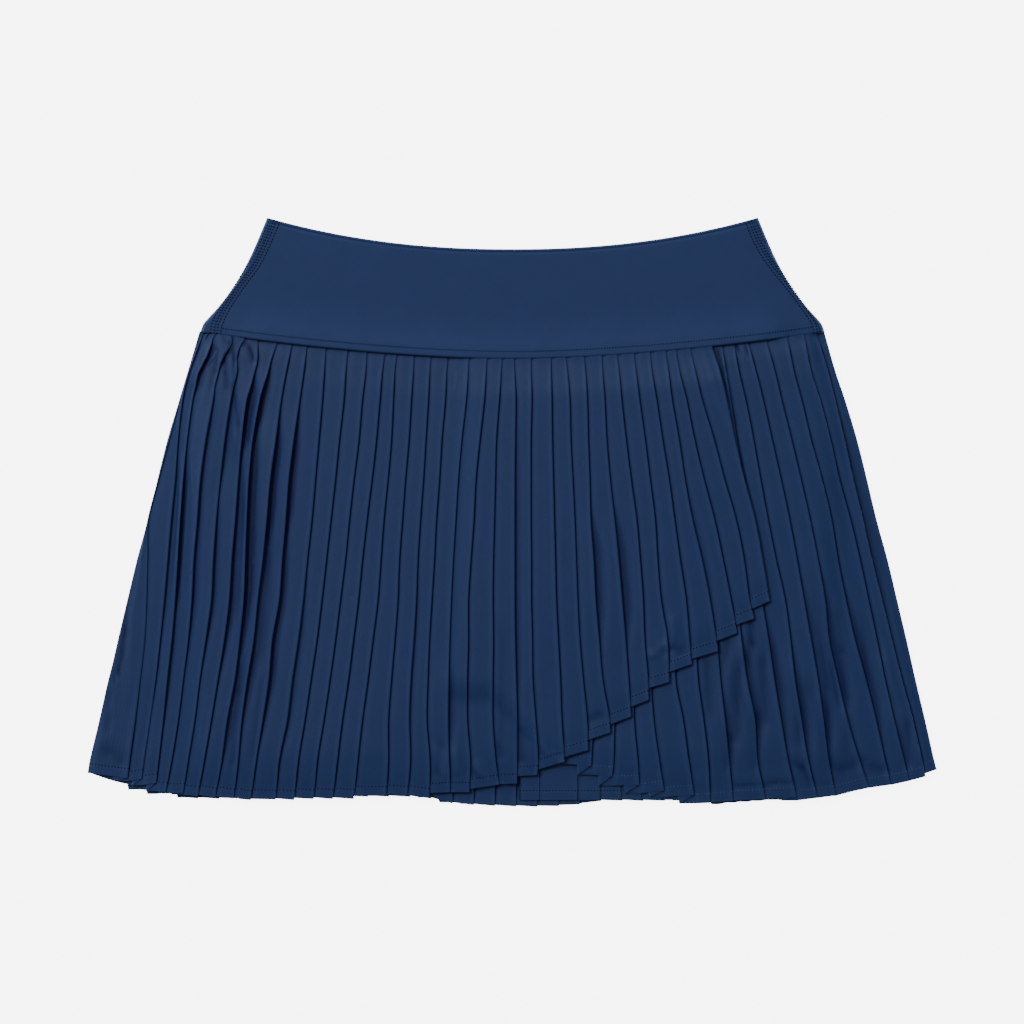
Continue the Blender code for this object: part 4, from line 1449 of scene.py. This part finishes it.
def knit_material(name, group, wales, courses, roughness, bump, deep, plain, painted_highlight=None,
                  fold=None):
    """Navy jersey; optionally a painted highlight on the pressed edges of the pleats and painted
    shade on the cloth between them.
    """
    material = bpy.data.materials.new(name)
    tree, shader = nodes_of(material)
    cloth = tree.nodes.new("ShaderNodeUVMap")
    cloth.uv_map = "cloth"
    knit = tree.nodes.new("ShaderNodeGroup")
    knit.node_tree = group
    knit.inputs["Wales"].default_value = wales
    knit.inputs["Courses"].default_value = courses
    tree.links.new(cloth.outputs["UV"], knit.inputs["Cloth"])
    tint = tree.nodes.new("ShaderNodeMix")
    tint.data_type = "RGBA"
    tint.inputs["A"].default_value = deep
    tint.inputs["B"].default_value = plain
    spread = tree.nodes.new("ShaderNodeMapRange")
    spread.inputs["From Min"].default_value = 0.25
    spread.inputs["From Max"].default_value = 0.60
    tree.links.new(knit.outputs["Mottle"], spread.inputs["Value"])
    tree.links.new(spread.outputs["Result"], tint.inputs["Factor"])
    colour = tint.outputs["Result"]
    if painted_highlight:
        # above 0 the attribute mixes in the painted highlight, below 0 the painted shade
        pressed_rise_and_painted_light = tree.nodes.new("ShaderNodeAttribute")
        pressed_rise_and_painted_light.attribute_name = "pressed_rise_and_painted_light"
        edge = tree.nodes.new("ShaderNodeMix")
        edge.data_type = "RGBA"
        edge.inputs["B"].default_value = painted_highlight
        strength = calculation(tree, "MULTIPLY", pressed_rise_and_painted_light.outputs["Fac"], 0.8)
        tree.links.new(calculation(tree, "MAXIMUM", strength, 0.0), edge.inputs["Factor"])
        tree.links.new(colour, edge.inputs["A"])
        inside = tree.nodes.new("ShaderNodeMix")
        inside.data_type = "RGBA"
        inside.inputs["B"].default_value = fold
        depth = calculation(tree, "MULTIPLY", pressed_rise_and_painted_light.outputs["Fac"], -1.0)
        tree.links.new(calculation(tree, "MAXIMUM", depth, 0.0), inside.inputs["Factor"])
        tree.links.new(edge.outputs["Result"], inside.inputs["A"])
        colour = inside.outputs["Result"]
    tree.links.new(colour, shader.inputs["Base Color"])
    rough = tree.nodes.new("ShaderNodeMapRange")
    rough.inputs["To Min"].default_value = roughness - 0.06
    rough.inputs["To Max"].default_value = roughness + 0.06
    tree.links.new(knit.outputs["Mottle"], rough.inputs["Value"])
    tree.links.new(rough.outputs["Result"], shader.inputs["Roughness"])
    relief = tree.nodes.new("ShaderNodeBump")
    relief.inputs["Strength"].default_value = bump
    relief.inputs["Distance"].default_value = 0.06 * MM
    tree.links.new(knit.outputs["Loops"], relief.inputs["Height"])
    tree.links.new(relief.outputs["Normal"], shader.inputs["Normal"])
    shader.inputs["Specular IOR Level"].default_value = 0.14
    shader.inputs["Sheen Weight"].default_value = 0.015
    shader.inputs["Sheen Roughness"].default_value = 0.45
    return material


def thread_material(name, dark, light):
    """Matt polyester thread, a little uneven along its twist."""
    material = bpy.data.materials.new(name)
    tree, shader = nodes_of(material)
    place = tree.nodes.new("ShaderNodeTexCoord")
    twist = tree.nodes.new("ShaderNodeTexNoise")
    twist.inputs["Scale"].default_value = 2500.0
    tree.links.new(place.outputs["Object"], twist.inputs["Vector"])
    tint = tree.nodes.new("ShaderNodeMix")
    tint.data_type = "RGBA"
    tint.inputs["A"].default_value = dark
    tint.inputs["B"].default_value = light
    tree.links.new(twist.outputs["Fac"], tint.inputs["Factor"])
    tree.links.new(tint.outputs["Result"], shader.inputs["Base Color"])
    shader.inputs["Roughness"].default_value = 0.85
    shader.inputs["Specular IOR Level"].default_value = 0.05
    return material


def studio():
    """A pale floor, a soft key light from the upper left, and an even fill."""
    floor_material = bpy.data.materials.new("studio_floor")
    tree, shader = nodes_of(floor_material)
    shader.inputs["Base Color"].default_value = FLOOR_WHITE
    shader.inputs["Roughness"].default_value = 0.9
    shader.inputs["Specular IOR Level"].default_value = 0.0
    shader.inputs["Emission Color"].default_value = (1.0, 1.0, 1.0, 1.0)
    shader.inputs["Emission Strength"].default_value = FLOOR_GLOW
    mesh = bpy.data.meshes.new("floor")
    corners = [(x * FLOOR_REACH, y * FLOOR_REACH, -FLOOR_DROP)
               for x, y in ((-1, -1), (1, -1), (1, 1), (-1, 1))]
    mesh.from_pydata(corners, [], [(0, 1, 2, 3)])
    floor = new_piece("floor", mesh, floor_material)

    for name, place, size, power in SQUARE_LIGHTS:
        light = bpy.data.lights.new(name, "AREA")
        light.shape = "SQUARE"
        light.size = size
        light.energy = power
        lamp = bpy.data.objects.new(name, light)
        lamp.location = place
        lamp.rotation_euler = (-Vector(place)).to_track_quat("-Z", "Y").to_euler()
        bpy.context.scene.collection.objects.link(lamp)

    world = bpy.data.worlds.new("studio_air")
    world.use_nodes = True
    air = world.node_tree.nodes["Background"]
    air.inputs["Color"].default_value = (1.0, 1.0, 1.0, 1.0)
    air.inputs["Strength"].default_value = AIR_STRENGTH
    bpy.context.scene.world = world


def camera():
    view = bpy.data.cameras.new("camera")
    view.lens = CAMERA_LENS
    view.sensor_width = CAMERA_SENSOR
    eye = bpy.data.objects.new("camera", view)
    eye.location = (across(PHOTO_WIDTH / 2.0) * MM, 0.0, CAMERA_HEIGHT * MM)
    bpy.context.scene.collection.objects.link(eye)
    bpy.context.scene.camera = eye


def back_lines():
    """The back panel's folds: the uneven ones at its ends, and evenly spread ones between."""
    side = UNDER_FOLDS[-1]
    hem = [(-point.x, point.y) for point in BACK_HEM]
    first, last = BACK_LEFT[-1].tip_x, BACK_RIGHT[0].tip_x
    gap = (last - first) / BACK_MIDDLE_COUNT
    folds = list(BACK_LEFT)
    for count in range(1, BACK_MIDDLE_COUNT):
        x = first + gap * count
        folds.append(BackFold(x, through(hem, -x), through(hem, gap - x) + BACK_STEP))
    folds += BACK_RIGHT
    start, end = BACK_HEM[0], BACK_HEM[-1]
    folds = [BackFold(start.x, start.y, start.y), *folds, BackFold(end.x, end.y, BACK_END_Y)]
    lines = []
    for fold in folds:
        share = (fold.tip_x - PHOTO_MIDDLE_X) / (end.x - PHOTO_MIDDLE_X)
        rows = tuple(PHOTO_MIDDLE_X + share * (row - PHOTO_MIDDLE_X) for row in side.rows)
        seam = PHOTO_MIDDLE_X + share * (side.seam - PHOTO_MIDDLE_X)
        lines.append(Line(Fold("back", seam, rows, *fold)))
    return lines


def under_lap(x, y):
    """The back panel's pleats are pressed flatter under its lap."""
    left, right = across(LAP_FOLDS[0].x), across(LAP_FOLDS[-1].x)
    inside = smoothstep(left - LAP_FADE, left, x) * smoothstep(right + LAP_FADE, right, x)
    return mix(1.0, FLATTEST, inside * smoothstep(up_from(LAP_TOP_Y) + LAP_FADE,
                                                  up_from(LAP_TOP_Y), y))


def lap_rise(share):
    """How far a face of the lap rises towards its own fold."""
    return LAP_RISE * (LAP_KNEE_SHARE * smoothstep(0.0, LAP_KNEE, share)
                       + (1.0 - LAP_KNEE_SHARE) * share)


def back_lap():
    """Columns of the wide lap that lies on the back panel at the bottom centre."""
    columns = []
    top, low = up_from(LAP_TOP_Y), up_from(LAP_HEM_Y)
    for left, right in zip(LAP_FOLDS, LAP_FOLDS[1:]):
        for share in LAP_FACE_SHARES:
            x = across(mix(left.x, right.x, share))
            from_left = share * (right.x - left.x) * PIXEL
            # painted highlight on each face's own fold, painted shade right of the fold before it
            tint = smoothstep(LAP_PAINTED_HIGHLIGHT_SHARE, 1.0, share)
            tint -= left.shade * (1.0 - smoothstep(0.0, FOLD_SHADE, from_left))
            column = []
            for step in range(LAP_STEPS + 1):
                down = step / LAP_STEPS
                y = mix(top, low, down)
                rise = lap_rise(share) * smoothstep(0.0, LAP_RISEN, down) + hem_rise(y - low)
                column.append((x, y, LAP_HEIGHT + rise, tint))
            columns.append(column)
    return columns


def lap_stitch_path():
    """The sewn line above the lap's hem."""
    y = up_from(LAP_HEM_Y) + HEM_DEPTH
    height = LAP_HEIGHT + 0.5 * HEM_RISE + CLOTH / 2.0 + LAP_THREAD_UP
    path = []
    for left, right in zip(LAP_FOLDS, LAP_FOLDS[1:]):
        for share in LAP_STITCH_SHARES:
            path.append((across(mix(left.x, right.x, share)), y, height + lap_rise(share)))
    return path


def joined(name, pieces):
    """Several meshes as one piece."""
    build = bmesh.new()
    material = pieces[0].data.materials[0]
    for piece in pieces:
        build.from_mesh(piece.data)
    mesh = bpy.data.meshes.new(name)
    build.to_mesh(mesh)
    build.free()
    for piece in pieces:
        bpy.data.objects.remove(piece, do_unlink=True)
    return new_piece(name, mesh, material)


def main():
    knit = knit_group()
    pleated_knit = knit_material("pleated_knit", knit, wales=1900.0, courses=2400.0,
                                 roughness=0.46, bump=0.35, deep=NAVY_DEEP, plain=NAVY,
                                 painted_highlight=NAVY_PAINTED_HIGHLIGHT, fold=NAVY_PAINTED_SHADE)
    band_knit = knit_material("band_knit", knit, wales=1700.0, courses=2300.0,
                              roughness=0.55, bump=0.45, deep=NAVY, plain=BAND_NAVY)
    shorts_knit = knit_material("shorts_knit", knit, wales=1700.0, courses=2300.0,
                                roughness=0.60, bump=0.45, deep=NAVY_DEEP, plain=NAVY)
    # the sewing and band threads are drawn near black: navy thread with the painted shade of the
    # stitches' dents
    thread = thread_material("sewing_thread", THREAD_PAINTED_SHADE_DARK, THREAD_PAINTED_SHADE_DEEP)
    band_thread = thread_material("band_thread", THREAD_PAINTED_SHADE_DARK, THREAD_PAINTED_SHADE_DARK)
    under_thread = thread_material("under_hem_thread", THREAD_LIGHT, THREAD_PALE)
    loop_thread = thread_material("cover_thread", NAVY, THREAD_LIGHT)
    camera()
    studio()

    back = Panel(back_lines(), on_floor, seed=3, rows=BACK_ROWS, low_end=True,
                 flat_spot=under_lap, sag=BACK_SAG, laps_show=False)
    under = Panel(UNDER_LINES, over_shorts, UNDER_OPENINGS, UNDER_CREASES, seed=5, low_end=True,
                  gather=under_gather)
    over = Panel(OVER_LINES, over_under, OVER_OPENINGS, OVER_CREASES, seed=8, gather=over_gather)

    skirt_back = pleated_sheet("back_pleats", back, pleated_knit)
    lap = thin_shell("lap", sheet_mesh("lap", back_lap()), pleated_knit, CLOTH)
    skirt_back = joined("back_panel", [skirt_back, lap])
    skirt_under = pleated_sheet("under_panel", under, pleated_knit)
    skirt_over = pleated_sheet("over_panel", over, pleated_knit)
    front = waistband_front(band_knit)
    rear = waistband_back(band_knit)
    short_back = shorts_piece("inner_shorts_back", over_back, shorts_knit)
    short_front = shorts_piece("inner_shorts_front", over_back_shorts, shorts_knit)

    tree = stitch_tree()
    over_paths = hem_paths(over, range(1, len(over.lines)))
    under_paths = hem_paths(under, range(UNDER_FIRST_SHOWN, len(under.lines)))
    seam_paths = [side_seam_path(side, outward) for side in (-1.0, 1.0) for outward in NEEDLE_ROWS]
    loop_paths = [side_seam_path(side, LOOP_ROW) for side in (-1.0, 1.0)]
    over_threads = stitched("over_hem_stitches", over_paths, tree, thread, HEM_STITCH)
    under_threads = stitched("under_hem_stitches", under_paths, tree, under_thread, HEM_STITCH)
    band_threads = stitched("band_stitches", [band_stitch_path()], tree, band_thread, BAND_STITCH)
    seam_threads = stitched("side_seam_stitches", seam_paths, tree, thread, SEAM_STITCH)
    loop_threads = stitched("side_seam_loops", loop_paths, tree, loop_thread, LOOP_STITCH)
    lap_threads = stitched("back_hem_stitches", [lap_stitch_path()], tree, thread, HEM_STITCH)

    pieces = [
        (skirt_back, "skirt_back", "pleated_knit", panel_cut(back), "laid", [], [lap_threads]),
        (skirt_under, "skirt_front_under", "pleated_knit", panel_cut(under), "laid",
         [short_front, skirt_back], [under_threads]),
        (skirt_over, "skirt_front_over", "pleated_knit", panel_cut(over), "laid",
         [skirt_under, skirt_back], [over_threads]),
        (front, "waistband_front", "band_knit", FRONT_BAND_CUT, "laid",
         [rear], [band_threads, seam_threads, loop_threads]),
        (rear, "waistband_back", "band_knit", BACK_BAND_CUT, "folded", [front], []),
        (short_back, "shorts_back", "shorts_knit", SHORTS_CUT, "laid", [skirt_back], []),
        (short_front, "shorts_front", "shorts_knit", SHORTS_CUT, "laid", [short_back], []),
    ]
    for piece, node, slot, cut, held, rests_on, extras in pieces:
        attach(piece, "root")
        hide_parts(node)
        for extra in extras:
            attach(extra, "root")


main()
